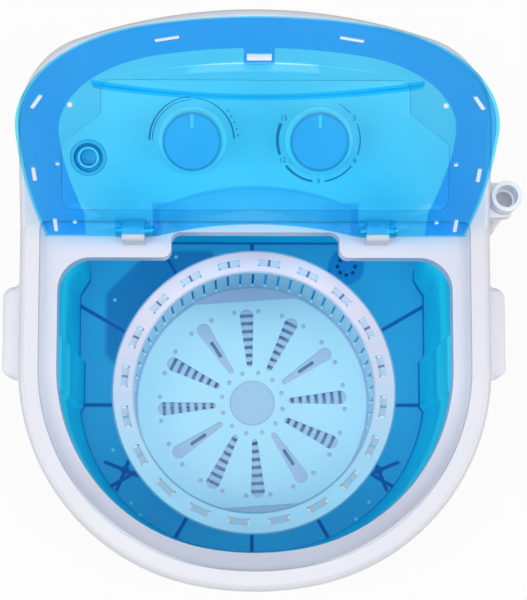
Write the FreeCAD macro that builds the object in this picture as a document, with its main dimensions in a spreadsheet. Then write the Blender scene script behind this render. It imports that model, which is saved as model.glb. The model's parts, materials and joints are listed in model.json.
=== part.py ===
import FreeCAD, Part
import math
import os
import Sketcher

# A portable washing machine with one wash tub and a lift-out spin basket.
# Frame: X to the right, Y to the rear, Z up, origin on the floor under the middle of the casing.

Vector = FreeCAD.Vector
doc = FreeCAD.newDocument("spin_basket_washer")

# Driving sizes in millimetres, degrees and counts
sizes = {
    # casing
    "body_width": 357,
    "body_depth": 432,
    "front_flat": 12.5,
    "front_bulge": 65,
    "rear_radius": 430,
    "rear_corner_radius": 65,
    "cabinet_wall": 2.8,
    "slip_gap": 0.3,
    "press_gap": 0.1,
    "rim_height": 480,
    "cover_skirt": 36,
    # rear service cover and screws
    "service_half_width": 92,
    "service_bottom": 70,
    "service_top": 320,
    "service_lap": 12,
    "service_plate": 2,
    "vent_x": 48,
    "vent_rows": 8,
    "vent_start": 20,
    "vent_pitch": 11,
    "vent_length": 62,
    "vent_width": 4,
    "gland_x": -125,
    "gland_z": 62,
    "gland_radius": 9,
    "screw_radius": 1.8,
    "screw_head_radius": 3.6,
    "screw_head": 2.2,
    "screw_gap": 0.1,
    "screw_length": 12,
    # base and feet
    "foot_height": 12,
    "foot_radius": 17,
    "foot_draft": 3,
    "foot_stem_radius": 5,
    "foot_side_inset": 60.5,
    "foot_front_inset": 88,
    "foot_rear_inset": 64,
    "plinth_height": 8,
    "plinth_inset": 5,
    "base_flange": 4,
    "base_floor": 3,
    "base_upstand": 16,
    "base_wall": 3,
    "base_rib": 2.4,
    "base_rib_height": 9,
    # side handles
    "handle_top_drop": 66,
    "handle_height": 30,
    "handle_lead": 11.2,
    "handle_length": 88,
    "handle_reach": 20,
    "handle_slope": 8,
    "handle_round": 9,
    "handle_wall": 3,
    "handle_edge_round": 4,
    # top cover
    "panel_rise": 45,
    "panel_front": 58,
    "cover_wall": 2.8,
    "panel_wall": 3.5,
    "seat_corner": 6,
    "cut_clear": 20,
    "cover_edge_round": 5,
    "seat_margin": 15,
    "seat_depth": 6,
    "seat_plate": 3,
    "seat_rear": 62,
    "opening_margin": 28.5,
    "opening_rear": 35,
    "opening_corner": 25,
    "notch_half_width": 64,
    "notch_rear": 54.5,
    "notch_corner": 7,
    "lip_wall": 2.6,
    "lip_depth": 18,
    # lid and hinge
    "hinge_y": 53,
    "hinge_rise": 11,
    "hinge_half_spacing": 91.7,
    "post_width": 16.6,
    "post_radius": 8.5,
    "pin_radius": 2.2,
    "pin_clearance": 0.08,
    "ear_width": 4.6,
    "ear_gap": 0.5,
    "ear_radius": 5.2,
    "lid_open_angle": 115,
    "lid_lift": 1,
    "lid_wall": 2.4,
    "lid_half_width": 167,
    "lid_front": 204,
    "lid_front_flat": 46,
    "lid_front_bulge": 190,
    "lid_rear": 46,
    "lid_rear_half_width": 157,
    "lid_rear_height": 22,
    "lid_front_height": 7,
    "lid_crown": 7,
    "lid_side_y": -59,
    "lid_arch_half_width": 74,
    "lid_arch_rise": 16,
    "lid_edge_round": 2,
    "lid_band": 30,
    "lid_frame_plate": 2.2,
    "lid_frame_gap": 0.2,
    "scoop_half_length": 114,
    "scoop_y": -114,
    "scoop_front_rise": 23,
    "scoop_rear_rise": 17,
    "scoop_floor_rise": 10,
    "tongue_half_width": 10,
    "tongue_length": 17,
    "window_front_turn": 14,
    "window_corner_turn": 62,
    "window_side_turn": 90,
    "window_length": 17,
    "window_width": 3.4,
    "window_middle_y": -166,
    "window_front_x": 59.5,
    "window_front_y": -182,
    "window_corner_x": 149,
    "window_corner_y": -116,
    "window_side_x": 158,
    "window_side_y": -32.5,
    "window_rear_x": 148,
    "window_rear_y": 32,
    "dot_radius": 2,
    "dot_corner_x": 127,
    "dot_corner_y": -112,
    "dot_side_x": 140.5,
    "dot_side_y": -45,
    "dot_rear_x": 133.5,
    "dot_rear_y": 28,
    "pin_head": 1.6,
    "pin_head_lip": 1.6,
    # tub
    "tub_depth": 270,
    "tub_wall": 2.8,
    "tub_floor": 3.2,
    "tub_lip_gap": 0.8,
    "tub_rear": 84,
    "tub_rear_corner": 7,
    "tub_flange": 7,
    "tub_collar": 26,
    "tub_flange_plate": 3,
    "gasket_thickness": 2,
    "pilaster_depth": 4.5,
    "pilaster_front_y": -68,
    "pilaster_rear_y": -18,
    "pilaster_slope": 5,
    "bulge_depth": 8.5,
    "bulge_front_y": 36,
    "bulge_rear_y": 74,
    "bulge_slope": 14,
    "rib_depth": 12,
    "rib_thickness": 2.6,
    "rib_inner_radius": 46,
    "rib_count": 12,
    "star_x": 113,
    "star_front_y": -119,
    "star_rear_y": -6,
    "star_turn": 30,
    "star_radius": 7,
    "star_arm": 17,
    "star_depth": 16,
    "motor_boss_depth": 14,
    "neck_radius": 15,
    "strainer_neck_radius": 13,
    "fill_z": 436,
    "fill_radius": 10.4,
    # spin axis and drive train
    "axis_y": -61,
    "shaft_radius": 6,
    "shaft_fit": 0.05,
    "bush_radius": 11,
    "bush_length": 16,
    "housing_radius": 17,
    "housing_length": 84,
    "housing_flange_radius": 42,
    "housing_flange": 5,
    "seal_length": 6,
    "running_gap": 1,
    "pulsator_radius": 84,
    "pulsator_plate": 4,
    "vane_height": 9,
    "vane_count": 6,
    "vane_thickness": 5,
    "hex_flats": 24,
    "hex_height": 13,
    "hex_roof": 3,
    "nut_height": 6,
    "nut_flats": 19,
    "nut_gap": 0.2,
    "belt_thickness": 4,
    "belt_width": 6,
    "pulley_lip": 1.5,
    "bell_nose": 20,
    "drive_pulley_radius": 58,
    "pulley_width": 12,
    "pulley_wall": 3,
    "groove_depth": 6,
    "pulley_hub_radius": 13,
    "pulley_drop": 15,
    "motor_x": -64,
    "motor_y": 13,
    "motor_pulley_radius": 15,
    "motor_shaft_radius": 5,
    "stator_radius": 55,
    "stator_height": 38,
    "rotor_radius": 33,
    "rotor_gap": 0.6,
    "bell_height": 17,
    "bell_wall": 3,
    "bracket_plate": 3,
    "bracket_bolt_radius": 62,
    "bracket_lobe": 11,
    "mount_radius": 8,
    "mount_height": 6,
    # spin basket and press plate
    "basket_drop": 90,
    "basket_radius": 102.4,
    "basket_wall": 2.4,
    "basket_floor": 3,
    "ring_outer_radius": 113.8,
    "ring_inner_radius": 95.8,
    "ring_plate": 3,
    "ring_skirt": 21,
    "ring_inner_skirt": 9,
    "ring_wall": 2.4,
    "ring_edge": 1.5,
    "ring_window_turn": 6.7,
    "ring_slit_swing": 4.4,
    "socket_radius": 19,
    "floor_slot_rows": 7,
    "floor_slot_start": 34,
    "floor_slot_pitch": 7,
    "floor_slot_width": 3,
    "floor_slot_sweep": 50,
    "floor_slot_turn": 11,
    "floor_slit_start": 49,
    "floor_slit_length": 16,
    "ring_window_length": 17.5,
    "ring_window_width": 5.4,
    "ring_window_count": 20,
    "ring_hole": 3.6,
    "slot_count": 60,
    "slot_width": 2.2,
    "slot_margin": 10,
    "plate_radius": 100.4,
    "plate_flat": 90,
    "plate_thickness": 3,
    "plate_turn": 3.8,
    "plate_slot_count": 12,
    "plate_slot_inner": 34,
    "plate_slot_outer": 77,
    "plate_slot_narrow": 4.8,
    "plate_slot_wide": 11.8,
    "plate_hole": 4,
    "plate_hole_circle": 81.3,
    "plate_inner_circle": 27,
    "plate_hub_radius": 19,
    "plate_hub_rise": 0.8,
    "plate_hole_swing": 7.5,
    # controls
    "knob_x": 47.5,
    "knob_y": 121,
    "knob_radius": 22,
    "knob_height": 19,
    "knob_flange_radius": 25.5,
    "knob_flange": 3,
    "spindle_radius": 3,
    "fascia_plate": 2,
    "fascia_proud": 0.4,
    "fascia_half_width": 146,
    "fascia_top_half_width": 116,
    "fascia_front_y": 70,
    "fascia_shoulder_y": 118,
    "fascia_step_y": 140,
    "fascia_rear_y": 164,
    "fascia_corner": 8,
    "timer_radius": 22,
    "timer_height": 30,
    "inlet_x": -126,
    "inlet_y": 108,
    "inlet_radius": 13.4,
    "inlet_tube_radius": 8.1,
    "inlet_bore_radius": 6.2,
    "inlet_recess": 9,
    "inlet_cup_radius": 12,
    "inlet_flange": 2.4,
    "inlet_drop": 32,
    "knob_roof": 4,
    "knob_edge": 2,
    "pointer_width": 2,
    "pointer_length": 9,
    "pointer_rise": 0.5,
    "terminal_width": 6,
    "terminal_length": 8,
    "inlet_wall": 2,
    "fill_lap": 12,
    "fill_bend": 16,
    "capacitor_x": 60,
    "capacitor_y": 110,
    "capacitor_radius": 20,
    "capacitor_height": 62,
    "cup_wall": 2,
    "cup_height": 18,
    "gland_bore": 4,
    "gland_flange": 12,
    "gland_lip": 3,
    "gland_depth": 24,
    # drain
    "drain_x": 85,
    "drain_y": 64,
    "drain_radius": 9,
    "drain_wall": 2,
    "drain_exit_z": 78,
    "drain_bend": 22,
    "drain_inset": 8,
    "elbow_bend": 12,
    "spigot_length": 20,
    "strainer_radius": 16,
    "strainer_neck": 6,
    "strainer_plate": 2.4,
    "strainer_hole": 1.8,
    "hose_stand_off": 13,
    "hose_radius": 9.5,
    "hose_bore_radius": 7,
    "hose_rib_depth": 1.6,
    "hose_pitch": 8.5,
    "hose_top_y": 82,
    "bend_bottom": 130,
    "bend_top": 330,
    "cuff_radius": 11.2,
    "cuff_length": 38,
    "cuff_grip": 18,
    "cuff_lip": 0.5,
    "cuff_step": 0.6,
    "clip_upper_drop": 30,
    "clip_lower_drop": 124,
    "clip_mouth": 0.5,
    "clip_wall": 2,
    "clip_height": 12,
}

sheet = doc.addObject("Spreadsheet::Sheet", "Sizes")
for row, (alias, number) in enumerate(sizes.items(), start=1):
    sheet.set(f"A{row}", alias)
    sheet.set(f"B{row}", str(number))
    sheet.setAlias(f"B{row}", alias)
doc.recompute()


class Size:
    """A number from the sheet, or worked out from it, together with the expression that gives it."""

    def __init__(self, value, text):
        self.value = float(value)
        self.text = text

    def __add__(self, other):
        other = as_size(other)
        return Size(self.value + other.value, f"({self.text} + {other.text})")

    def __sub__(self, other):
        other = as_size(other)
        return Size(self.value - other.value, f"({self.text} - {other.text})")

    def __mul__(self, other):
        other = as_size(other)
        return Size(self.value * other.value, f"({self.text} * {other.text})")

    def __truediv__(self, other):
        other = as_size(other)
        return Size(self.value / other.value, f"({self.text} / {other.text})")

    def __neg__(self):
        return Size(-self.value, f"(0 - {self.text})")

    def __radd__(self, other):
        return as_size(other) + self

    def __rsub__(self, other):
        return as_size(other) - self

    def __rmul__(self, other):
        return as_size(other) * self


class Sheet:
    """Gives each cell of the sheet as a Size, by its alias."""

    def __getattr__(self, alias):
        return Size(getattr(sheet, alias), f"Sizes.{alias}")


def as_size(number):
    if isinstance(number, Size):
        return number
    return Size(number, f"({float(number)})")


def root(number):
    return Size(math.sqrt(number.value), f"sqrt({number.text})")


def cosine(degrees):
    degrees = as_size(degrees)
    return Size(math.cos(math.radians(degrees.value)), f"cos({degrees.text})")


def sine(degrees):
    degrees = as_size(degrees)
    return Size(math.sin(math.radians(degrees.value)), f"sin({degrees.text})")


def arc_tangent(ratio):
    return Size(math.degrees(math.atan(ratio.value)), f"atan({ratio.text})")


s = Sheet()
zero = as_size(0)
through = as_size(2000)

# Levels and places that several pieces share
half_width = s.body_width / 2
half_depth = s.body_depth / 2
base_bottom = s.foot_height
flange_bottom = base_bottom + s.plinth_height
cabinet_bottom = flange_bottom + s.base_flange
seam = s.rim_height - s.cover_skirt
seat_level = s.rim_height - s.seat_depth
cover_ceiling = seat_level - s.seat_plate
tub_top = cover_ceiling - s.gasket_thickness
floor_level = s.rim_height - s.tub_depth
floor_under = floor_level - s.tub_floor
hinge_z = s.rim_height + s.hinge_rise
panel_run = half_depth - s.panel_front
panel_slope = arc_tangent(s.panel_rise / panel_run)
tub_margin = s.opening_margin - s.lip_wall - s.tub_lip_gap
foot_x = half_width - s.foot_side_inset
foot_front_y = s.foot_front_inset - half_depth
foot_rear_y = half_depth - s.foot_rear_inset
wedge_rear = s.tub_rear + s.tub_wall + s.tub_flange + s.slip_gap


# Outlines

def symmetric(chain, front, rear=None):
    """Mirrors a chain of corners on the right side, given from the front to the rear, into a closed loop."""
    loop = [corner for corner in chain[:-1]]
    loop.append((chain[-1][0], chain[-1][1], rear))
    sides = [corner[2] for corner in chain[:-1]]
    for (x, y, side), before in zip(reversed(chain), list(reversed(sides)) + [front]):
        loop.append((-x, y, before))
    return loop


def flipped(loop):
    """The same loop on the other side of the middle plane."""
    count = len(loop)
    return [(-loop[i][0], loop[i][1], loop[i - 1][2]) for i in reversed(range(count))]


def front_chain(margin):
    """The rounded front of the casing, drawn in by a margin, up to the start of the straight side."""
    width = half_width - margin
    corner = width - s.front_flat
    front = corner + s.front_bulge
    front_centre = front + margin - half_depth
    drop = root(s.front_bulge * s.front_bulge - s.front_flat * s.front_flat)
    reach = front / s.front_bulge
    chain = [
        (s.front_flat * reach, front_centre - drop * reach, corner),
        (width, front_centre - drop, None),
    ]
    return chain, front, width


def body_loop(margin):
    """The whole plan of the casing, drawn in by a margin."""
    chain, front, width = front_chain(margin)
    rear = s.rear_radius - margin
    corner = s.rear_corner_radius - margin
    rear_centre = half_depth - margin - rear
    inner_x = width - corner
    inner_y = root((rear - corner) * (rear - corner) - inner_x * inner_x)
    reach = rear / (rear - corner)
    chain.append((width, rear_centre + inner_y, corner))
    chain.append((inner_x * reach, rear_centre + inner_y * reach, None))
    return symmetric(chain, front, rear)


def straight_back_loop(margin, rear_y, corner):
    """The casing's front and sides, drawn in by a margin, with a straight back."""
    chain, front, width = front_chain(margin)
    chain.append((width, rear_y - corner, corner))
    chain.append((width - corner, rear_y, None))
    return symmetric(chain, front)


def opening_loop(grow):
    """The opening in the top cover, with the step back between the hinges."""
    grow = as_size(grow)
    chain, front, width = front_chain(s.opening_margin - grow)
    corner = s.opening_corner + grow
    rear = s.opening_rear + grow
    side = s.notch_half_width + grow
    outer = s.notch_corner - grow
    inner = s.notch_corner + grow
    back = s.notch_rear + grow
    chain.append((width, rear - corner, corner))
    chain.append((width - corner, rear, None))
    chain.append((side + outer, rear, -outer))
    chain.append((side, rear + outer, None))
    chain.append((side, back - inner, inner))
    chain.append((side - inner, back, None))
    return symmetric(chain, front)


def tub_loop(margin, rear_y, corner):
    """The tub's plan, with a flat pilaster and a rear bulge drawn into each side wall."""
    chain, front, width = front_chain(margin)
    corner_radius = chain[0][2]
    past_side = s.pilaster_front_y - chain[1][1]
    pilaster_start = s.front_flat + root(corner_radius * corner_radius - past_side * past_side)
    pilaster = width - s.pilaster_depth
    bulge = width - s.bulge_depth
    chain[1] = (pilaster_start, s.pilaster_front_y, None)
    chain.append((pilaster, s.pilaster_front_y + s.pilaster_slope, None))
    chain.append((pilaster, s.pilaster_rear_y - s.pilaster_slope, None))
    chain.append((width, s.pilaster_rear_y, None))
    chain.append((width, s.bulge_front_y, None))
    chain.append((bulge, s.bulge_front_y + s.bulge_slope, None))
    chain.append((bulge, s.bulge_rear_y - s.bulge_slope, None))
    chain.append((width, s.bulge_rear_y, None))
    chain.append((width, rear_y - corner, corner))
    chain.append((width - corner, rear_y, None))
    return symmetric(chain, front)


# Sketches and features

def add_body(label):
    body = doc.addObject("PartDesign::Body", label)
    body.Label = label
    return body


def add_sketch(body, name, plane="XY_Plane", offset=zero):
    sketch = body.newObject("Sketcher::SketchObject", f"{body.Label}_{name}")
    support = [feature for feature in body.Origin.OriginFeatures if feature.Role == plane][0]
    sketch.AttachmentSupport = [(support, "")]
    sketch.MapMode = "FlatFace"
    offset = as_size(offset)
    sketch.AttachmentOffset = FreeCAD.Placement(Vector(0, 0, offset.value), FreeCAD.Rotation())
    sketch.setExpression("AttachmentOffset.Base.z", offset.text)
    return sketch


def add_panel_sketch(body, name):
    """A sketch on the sloping control panel, with its origin at the panel's front edge."""
    sketch = add_sketch(body, name)
    tilt = FreeCAD.Rotation(Vector(1, 0, 0), panel_slope.value)
    sketch.AttachmentOffset = FreeCAD.Placement(Vector(0, s.panel_front.value, s.rim_height.value), tilt)
    sketch.setExpression("AttachmentOffset.Base.y", s.panel_front.text)
    sketch.setExpression("AttachmentOffset.Base.z", s.rim_height.text)
    sketch.setExpression("AttachmentOffset.Rotation.Angle", panel_slope.text)
    return sketch


def constrain(sketch, wanted):
    """Adds constraints, and binds the ones that carry a Size to the sheet."""
    indexes = sketch.addConstraint([constraint for constraint, size in wanted])
    for index, (constraint, size) in zip(indexes, wanted):
        if size is not None:
            sketch.setExpression(f"Constraints[{index}]", size.text)


def pin(geometry, point, x, y):
    """Constraints that hold a point of the sketch at x, y from its origin."""
    wanted = []
    for kind, axis, distance in (("DistanceX", -2, x), ("DistanceY", -1, y)):
        if abs(distance.value) < 1e-9:
            wanted.append((Sketcher.Constraint("PointOnObject", geometry, point, axis), None))
        elif distance.value > 0:
            wanted.append((Sketcher.Constraint(kind, -1, 1, geometry, point, distance.value), distance))
        else:
            wanted.append((Sketcher.Constraint(kind, geometry, point, -1, 1, -distance.value), -distance))
    return wanted


def arc_between(start, end, radius):
    """An arc under a half circle, turning left for a positive radius and right for a negative one."""
    if radius < 0:
        start, end = end, start
        radius = -radius
    chord = end - start
    rise = math.sqrt(max(radius * radius - chord.Length * chord.Length / 4, 0))
    across = Vector(-chord.y, chord.x, 0).normalize()
    centre = (start + end) * 0.5 + across * rise
    first = math.atan2(start.y - centre.y, start.x - centre.x)
    last = math.atan2(end.y - centre.y, end.x - centre.x)
    if last < first:
        last += 2 * math.pi
    return Part.ArcOfCircle(Part.Circle(centre, Vector(0, 0, 1), radius), first, last)


def draw_loop(sketch, corners):
    """Draws a closed loop of corners: x, y and the radius of the side that follows, or None."""
    corners = [(as_size(x), as_size(y), radius) for x, y, radius in corners]
    points = [Vector(x.value, y.value, 0) for x, y, radius in corners]
    first = sketch.GeometryCount
    geometry = []
    for index, (x, y, radius) in enumerate(corners):
        start = points[index]
        end = points[(index + 1) % len(points)]
        if radius is None:
            geometry.append(Part.LineSegment(start, end))
        else:
            geometry.append(arc_between(start, end, radius.value))
    sketch.addGeometry(geometry, False)
    wanted = []
    for index, (x, y, radius) in enumerate(corners):
        before = (index - 1) % len(corners)
        turns_right = radius is not None and radius.value < 0
        before_right = corners[before][2] is not None and corners[before][2].value < 0
        start_point = 2 if turns_right else 1
        end_point = 1 if before_right else 2
        join = Sketcher.Constraint("Coincident", first + before, end_point, first + index, start_point)
        wanted.append((join, None))
        wanted += pin(first + index, start_point, x, y)
        if radius is not None:
            bend = -radius if turns_right else radius
            wanted.append((Sketcher.Constraint("Radius", first + index, bend.value), bend))
    constrain(sketch, wanted)


def draw_polygon(sketch, points):
    draw_loop(sketch, [(x, y, None) for x, y in points])


def draw_box(sketch, left, right, low, high):
    draw_polygon(sketch, [(left, low), (right, low), (right, high), (left, high)])


def draw_circle(sketch, x, y, radius):
    x, y, radius = as_size(x), as_size(y), as_size(radius)
    index = sketch.GeometryCount
    sketch.addGeometry(Part.Circle(Vector(x.value, y.value, 0), Vector(0, 0, 1), radius.value), False)
    wanted = pin(index, 3, x, y)
    wanted.append((Sketcher.Constraint("Radius", index, radius.value), radius))
    constrain(sketch, wanted)


def draw_turned_box(sketch, x, y, length, width, degrees):
    """A rectangle with its length turned by an angle from the sketch's x axis."""
    x, y = as_size(x), as_size(y)
    along_x, along_y = length / 2 * cosine(degrees), length / 2 * sine(degrees)
    across_x, across_y = width / 2 * sine(degrees), width / 2 * cosine(degrees)
    draw_polygon(sketch, [
        (x - along_x + across_x, y - along_y - across_y),
        (x + along_x + across_x, y + along_y - across_y),
        (x + along_x - across_x, y + along_y + across_y),
        (x - along_x - across_x, y - along_y + across_y),
    ])


def cut_by(body, tool):
    """Takes the solid of another body away from a body."""
    feature = body.newObject("PartDesign::Boolean", f"{tool.Label}_cut")
    feature.Type = "Cut"
    feature.addObjects([tool])
    body.Tip = feature
    return feature


def extrude(body, kind, sketch, length, side="One side", reverse=False):
    feature = body.newObject(f"PartDesign::{kind}", f"{sketch.Name}_{kind.lower()}")
    feature.Profile = sketch
    feature.SideType = side
    feature.Reversed = reverse
    length = as_size(length)
    feature.Length = length.value
    feature.setExpression("Length", length.text)
    sketch.Visibility = False
    return feature


def pad(body, sketch, length, side="One side", reverse=False):
    return extrude(body, "Pad", sketch, length, side, reverse)


def pocket(body, sketch, length, side="One side", reverse=False):
    return extrude(body, "Pocket", sketch, length, side, reverse)


def turn(body, kind, sketch):
    """A Revolution or Groove of a sketch about its own vertical axis."""
    feature = body.newObject(f"PartDesign::{kind}", f"{sketch.Name}_{kind.lower()}")
    feature.Profile = sketch
    feature.ReferenceAxis = (sketch, ["V_Axis"])
    feature.Angle = 360
    return feature


def polar(body, features, count):
    """Repeats features round the body's own vertical axis."""
    pattern = body.newObject("PartDesign::PolarPattern", f"{features[0].Name}_round")
    pattern.Originals = features
    axis = [feature for feature in body.Origin.OriginFeatures if feature.Role == "Z_Axis"][0]
    pattern.Axis = (axis, [""])
    pattern.Angle = 360
    count = as_size(count)
    pattern.Occurrences = round(count.value)
    pattern.setExpression("Occurrences", count.text)
    body.Tip = pattern
    return pattern


def mirror(body, features):
    """Repeats features on the other side of the middle plane."""
    pattern = body.newObject("PartDesign::Mirrored", f"{features[0].Name}_mirrored")
    pattern.Originals = features
    plane = [feature for feature in body.Origin.OriginFeatures if feature.Role == "YZ_Plane"][0]
    pattern.MirrorPlane = (plane, [""])
    body.Tip = pattern
    return pattern


def place(body, x=zero, y=zero, z=zero):
    """Moves a body modelled round its own axis to its place."""
    for letter, distance in (("x", x), ("y", y), ("z", z)):
        distance = as_size(distance)
        body.setExpression(f"Placement.Base.{letter}", distance.text)


def place_on_panel(body, x, y):
    """Stands a body modelled upright on the sloping control panel, at a plan position."""
    x, y = as_size(x), as_size(y)
    rise = (y - s.panel_front) * s.panel_rise / panel_run
    base = Vector(x.value, y.value, s.rim_height.value + rise.value)
    body.Placement = FreeCAD.Placement(base, FreeCAD.Rotation(Vector(1, 0, 0), panel_slope.value))


def place_on_lid(body):
    """Swings a body modelled with the lid shut to the open lid."""
    swing = FreeCAD.Rotation(Vector(1, 0, 0), -s.lid_open_angle.value)
    hinge = Vector(0, s.hinge_y.value, hinge_z.value)
    body.Placement = FreeCAD.Placement(Vector(0, 0, 0), swing, hinge)


def round_edges(body, radius, wanted):
    """Fillets the edges of a body for which wanted(edge) is true."""
    doc.recompute()
    names = [f"Edge{i}" for i, edge in enumerate(body.Shape.Edges, start=1) if wanted(edge)]
    feature = body.newObject("PartDesign::Fillet", f"{body.Label}_round")
    feature.Base = (body.Tip if body.Tip != feature else feature.BaseFeature, names)
    feature.Radius = radius.value
    feature.setExpression("Radius", radius.text)
    body.Tip = feature
    return feature


parts = []


def finish(obj):
    """Keeps a finished sub-part for writing."""
    doc.recompute()
    parts.append(obj)
    return obj


# Casing

def rear_wall_y(x, radius_change):
    """Where the curved rear wall, grown by radius_change, lies at a distance x from the middle."""
    radius = s.rear_radius + radius_change
    return half_depth - s.rear_radius + root(radius * radius - x * x)


def service_screw_places():
    """The six screws of the rear cover, as x and z."""
    x = s.service_half_width + s.service_lap / 2
    heights = (s.service_bottom, (s.service_bottom + s.service_top) / 2, s.service_top)
    return [(x * sign, z) for sign in (-1, 1) for z in heights]


def make_cabinet():
    body = add_body("cabinet")
    outside = add_sketch(body, "outside", offset=cabinet_bottom)
    draw_loop(outside, body_loop(zero))
    pad(body, outside, seam - cabinet_bottom)
    inside = add_sketch(body, "inside", offset=cabinet_bottom)
    draw_loop(inside, body_loop(s.cabinet_wall))
    pocket(body, inside, seam - cabinet_bottom, reverse=True)
    service = add_sketch(body, "service_opening", "XZ_Plane")
    draw_box(service, -s.service_half_width, s.service_half_width, s.service_bottom, s.service_top)
    draw_circle(service, s.gland_x, s.gland_z, s.gland_radius + s.slip_gap)
    for x, z in service_screw_places():
        draw_circle(service, x, z, s.screw_radius + s.slip_gap)
    pocket(body, service, through)
    drain = add_sketch(body, "drain_hole", "YZ_Plane")
    draw_circle(drain, s.drain_y, s.drain_exit_z, s.drain_radius + s.slip_gap)
    pocket(body, drain, through, reverse=True)
    finish(body)


def make_rear_cover():
    body = add_body("rear_cover")
    edge = s.service_half_width + s.service_lap
    inner = s.slip_gap
    outer = s.slip_gap + s.service_plate
    plan = add_sketch(body, "plan", offset=s.service_bottom - s.service_lap)
    draw_loop(plan, [
        (-edge, rear_wall_y(edge, inner), -(s.rear_radius + inner)),
        (edge, rear_wall_y(edge, inner), None),
        (edge, rear_wall_y(edge, outer), s.rear_radius + outer),
        (-edge, rear_wall_y(edge, outer), None),
    ])
    pad(body, plan, s.service_top - s.service_bottom + s.service_lap * 2)
    vents = add_sketch(body, "vents", "XZ_Plane")
    for column in (-1, 1):
        for row in range(round(s.vent_rows.value)):
            middle = s.vent_x * column
            low = s.service_bottom + s.vent_start + s.vent_pitch * row
            draw_box(vents, middle - s.vent_length / 2, middle + s.vent_length / 2, low, low + s.vent_width)
    for x, z in service_screw_places():
        draw_circle(vents, x, z, s.screw_radius + s.slip_gap)
    pocket(body, vents, through)
    finish(body)


def screw_group(label, places, length):
    """Round-head screws as one group: each place is the seat of a head and the way the shank points."""
    screws = []
    for seat, way in places:
        shank = Part.makeCylinder(s.screw_radius.value, length.value, seat, way)
        head = Part.makeCylinder(s.screw_head_radius.value, s.screw_head.value, seat, way * -1)
        screws.append(shank.fuse(head).removeSplitter())
    group = doc.addObject("Part::Feature", label)
    group.Label = label
    group.Shape = Part.makeCompound(screws)
    finish(group)


def make_rear_cover_screws():
    reach = s.service_half_width + s.service_lap / 2 - s.screw_head_radius
    seat_y = rear_wall_y(reach, s.slip_gap + s.service_plate) + s.screw_gap
    places = [(Vector(x.value, seat_y.value, z.value), Vector(0, -1, 0)) for x, z in service_screw_places()]
    screw_group("rear_cover_screws", places, s.screw_length)


def make_base_pan():
    body = add_body("base_pan")
    plinth = add_sketch(body, "plinth", offset=base_bottom)
    draw_loop(plinth, body_loop(s.plinth_inset))
    pad(body, plinth, s.plinth_height)
    flange = add_sketch(body, "flange", offset=flange_bottom)
    draw_loop(flange, body_loop(zero))
    pad(body, flange, s.base_flange)
    upstand = add_sketch(body, "upstand", offset=cabinet_bottom)
    draw_loop(upstand, body_loop(s.cabinet_wall + s.slip_gap))
    pad(body, upstand, s.base_upstand)
    top = cabinet_bottom + s.base_upstand
    hollow = add_sketch(body, "hollow", offset=top)
    draw_loop(hollow, body_loop(s.plinth_inset + s.base_wall))
    pocket(body, hollow, top - base_bottom - s.base_floor)
    ribs = add_sketch(body, "ribs", offset=base_bottom + s.base_floor)
    reach = foot_x - s.foot_radius - s.base_rib
    for y in (foot_front_y, foot_rear_y):
        draw_box(ribs, -reach, reach, y - s.base_rib / 2, y + s.base_rib / 2)
    for sign in (-1, 1):
        x = foot_x * sign
        low = foot_front_y + s.foot_radius
        high = foot_rear_y - s.foot_radius
        draw_box(ribs, x - s.base_rib / 2, x + s.base_rib / 2, low, high)
    pad(body, ribs, s.base_rib_height)
    stems = add_sketch(body, "stem_holes", offset=base_bottom)
    for x in (-foot_x, foot_x):
        for y in (foot_front_y, foot_rear_y):
            draw_circle(stems, x, y, s.foot_stem_radius)
    pocket(body, stems, s.base_floor, reverse=True)
    finish(body)


def make_foot(label, x, y):
    body = add_body(label)
    profile = add_sketch(body, "profile", "XZ_Plane")
    stem = s.foot_stem_radius - s.press_gap
    head = s.foot_stem_radius + s.foot_draft / 2
    neck = s.foot_height + s.base_floor + s.press_gap
    draw_polygon(profile, [
        (zero, zero),
        (s.foot_radius - s.foot_draft, zero),
        (s.foot_radius, s.foot_height / 2),
        (s.foot_radius, s.foot_height),
        (stem, s.foot_height),
        (stem, neck),
        (head, neck),
        (stem - s.foot_draft / 2, neck + s.foot_draft),
        (zero, neck + s.foot_draft),
    ])
    turn(body, "Revolution", profile)
    place(body, x, y)
    finish(body)


def make_handle(label, sign):
    chain, front, width = front_chain(-s.press_gap)
    corner = chain[0][2]
    tangent_y = chain[1][1]
    handle_front = tangent_y - s.handle_lead
    handle_rear = handle_front + s.handle_length
    short = s.handle_lead
    start_x = width - corner + root(corner * corner - short * short)
    outer = width + s.handle_reach
    front_y = handle_front + s.handle_slope
    rear_y = handle_rear - s.handle_slope
    loop = [
        (start_x, handle_front, None),
        (outer - s.handle_round, front_y, s.handle_round),
        (outer, front_y + s.handle_round, None),
        (outer, rear_y - s.handle_round, s.handle_round),
        (outer - s.handle_round, rear_y, None),
        (width, handle_rear, None),
        (width, tangent_y, -corner),
    ]
    grip = [
        (width + s.handle_wall, front_y + s.handle_round, None),
        (outer - s.handle_wall, front_y + s.handle_round, None),
        (outer - s.handle_wall, rear_y - s.handle_round, None),
        (width + s.handle_wall, rear_y - s.handle_round, None),
    ]
    if sign < 0:
        loop = flipped(loop)
        grip = flipped(grip)
    body = add_body(label)
    bottom = s.rim_height - s.handle_top_drop - s.handle_height
    plan = add_sketch(body, "plan", offset=bottom)
    draw_loop(plan, loop)
    pad(body, plan, s.handle_height)
    finger = add_sketch(body, "finger_grip", offset=bottom)
    draw_loop(finger, grip)
    pocket(body, finger, s.handle_height - s.handle_wall, reverse=True)
    top = s.rim_height.value - s.handle_top_drop.value
    edge_x = half_width.value + s.press_gap.value * 3

    def on_top_rim(edge):
        box = edge.BoundBox
        return abs(box.ZMin - top) < 1e-3 and abs(box.ZMax - top) < 1e-3 and abs(edge.CenterOfMass.x) > edge_x

    round_edges(body, s.handle_edge_round, on_top_rim)
    finish(body)


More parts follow.
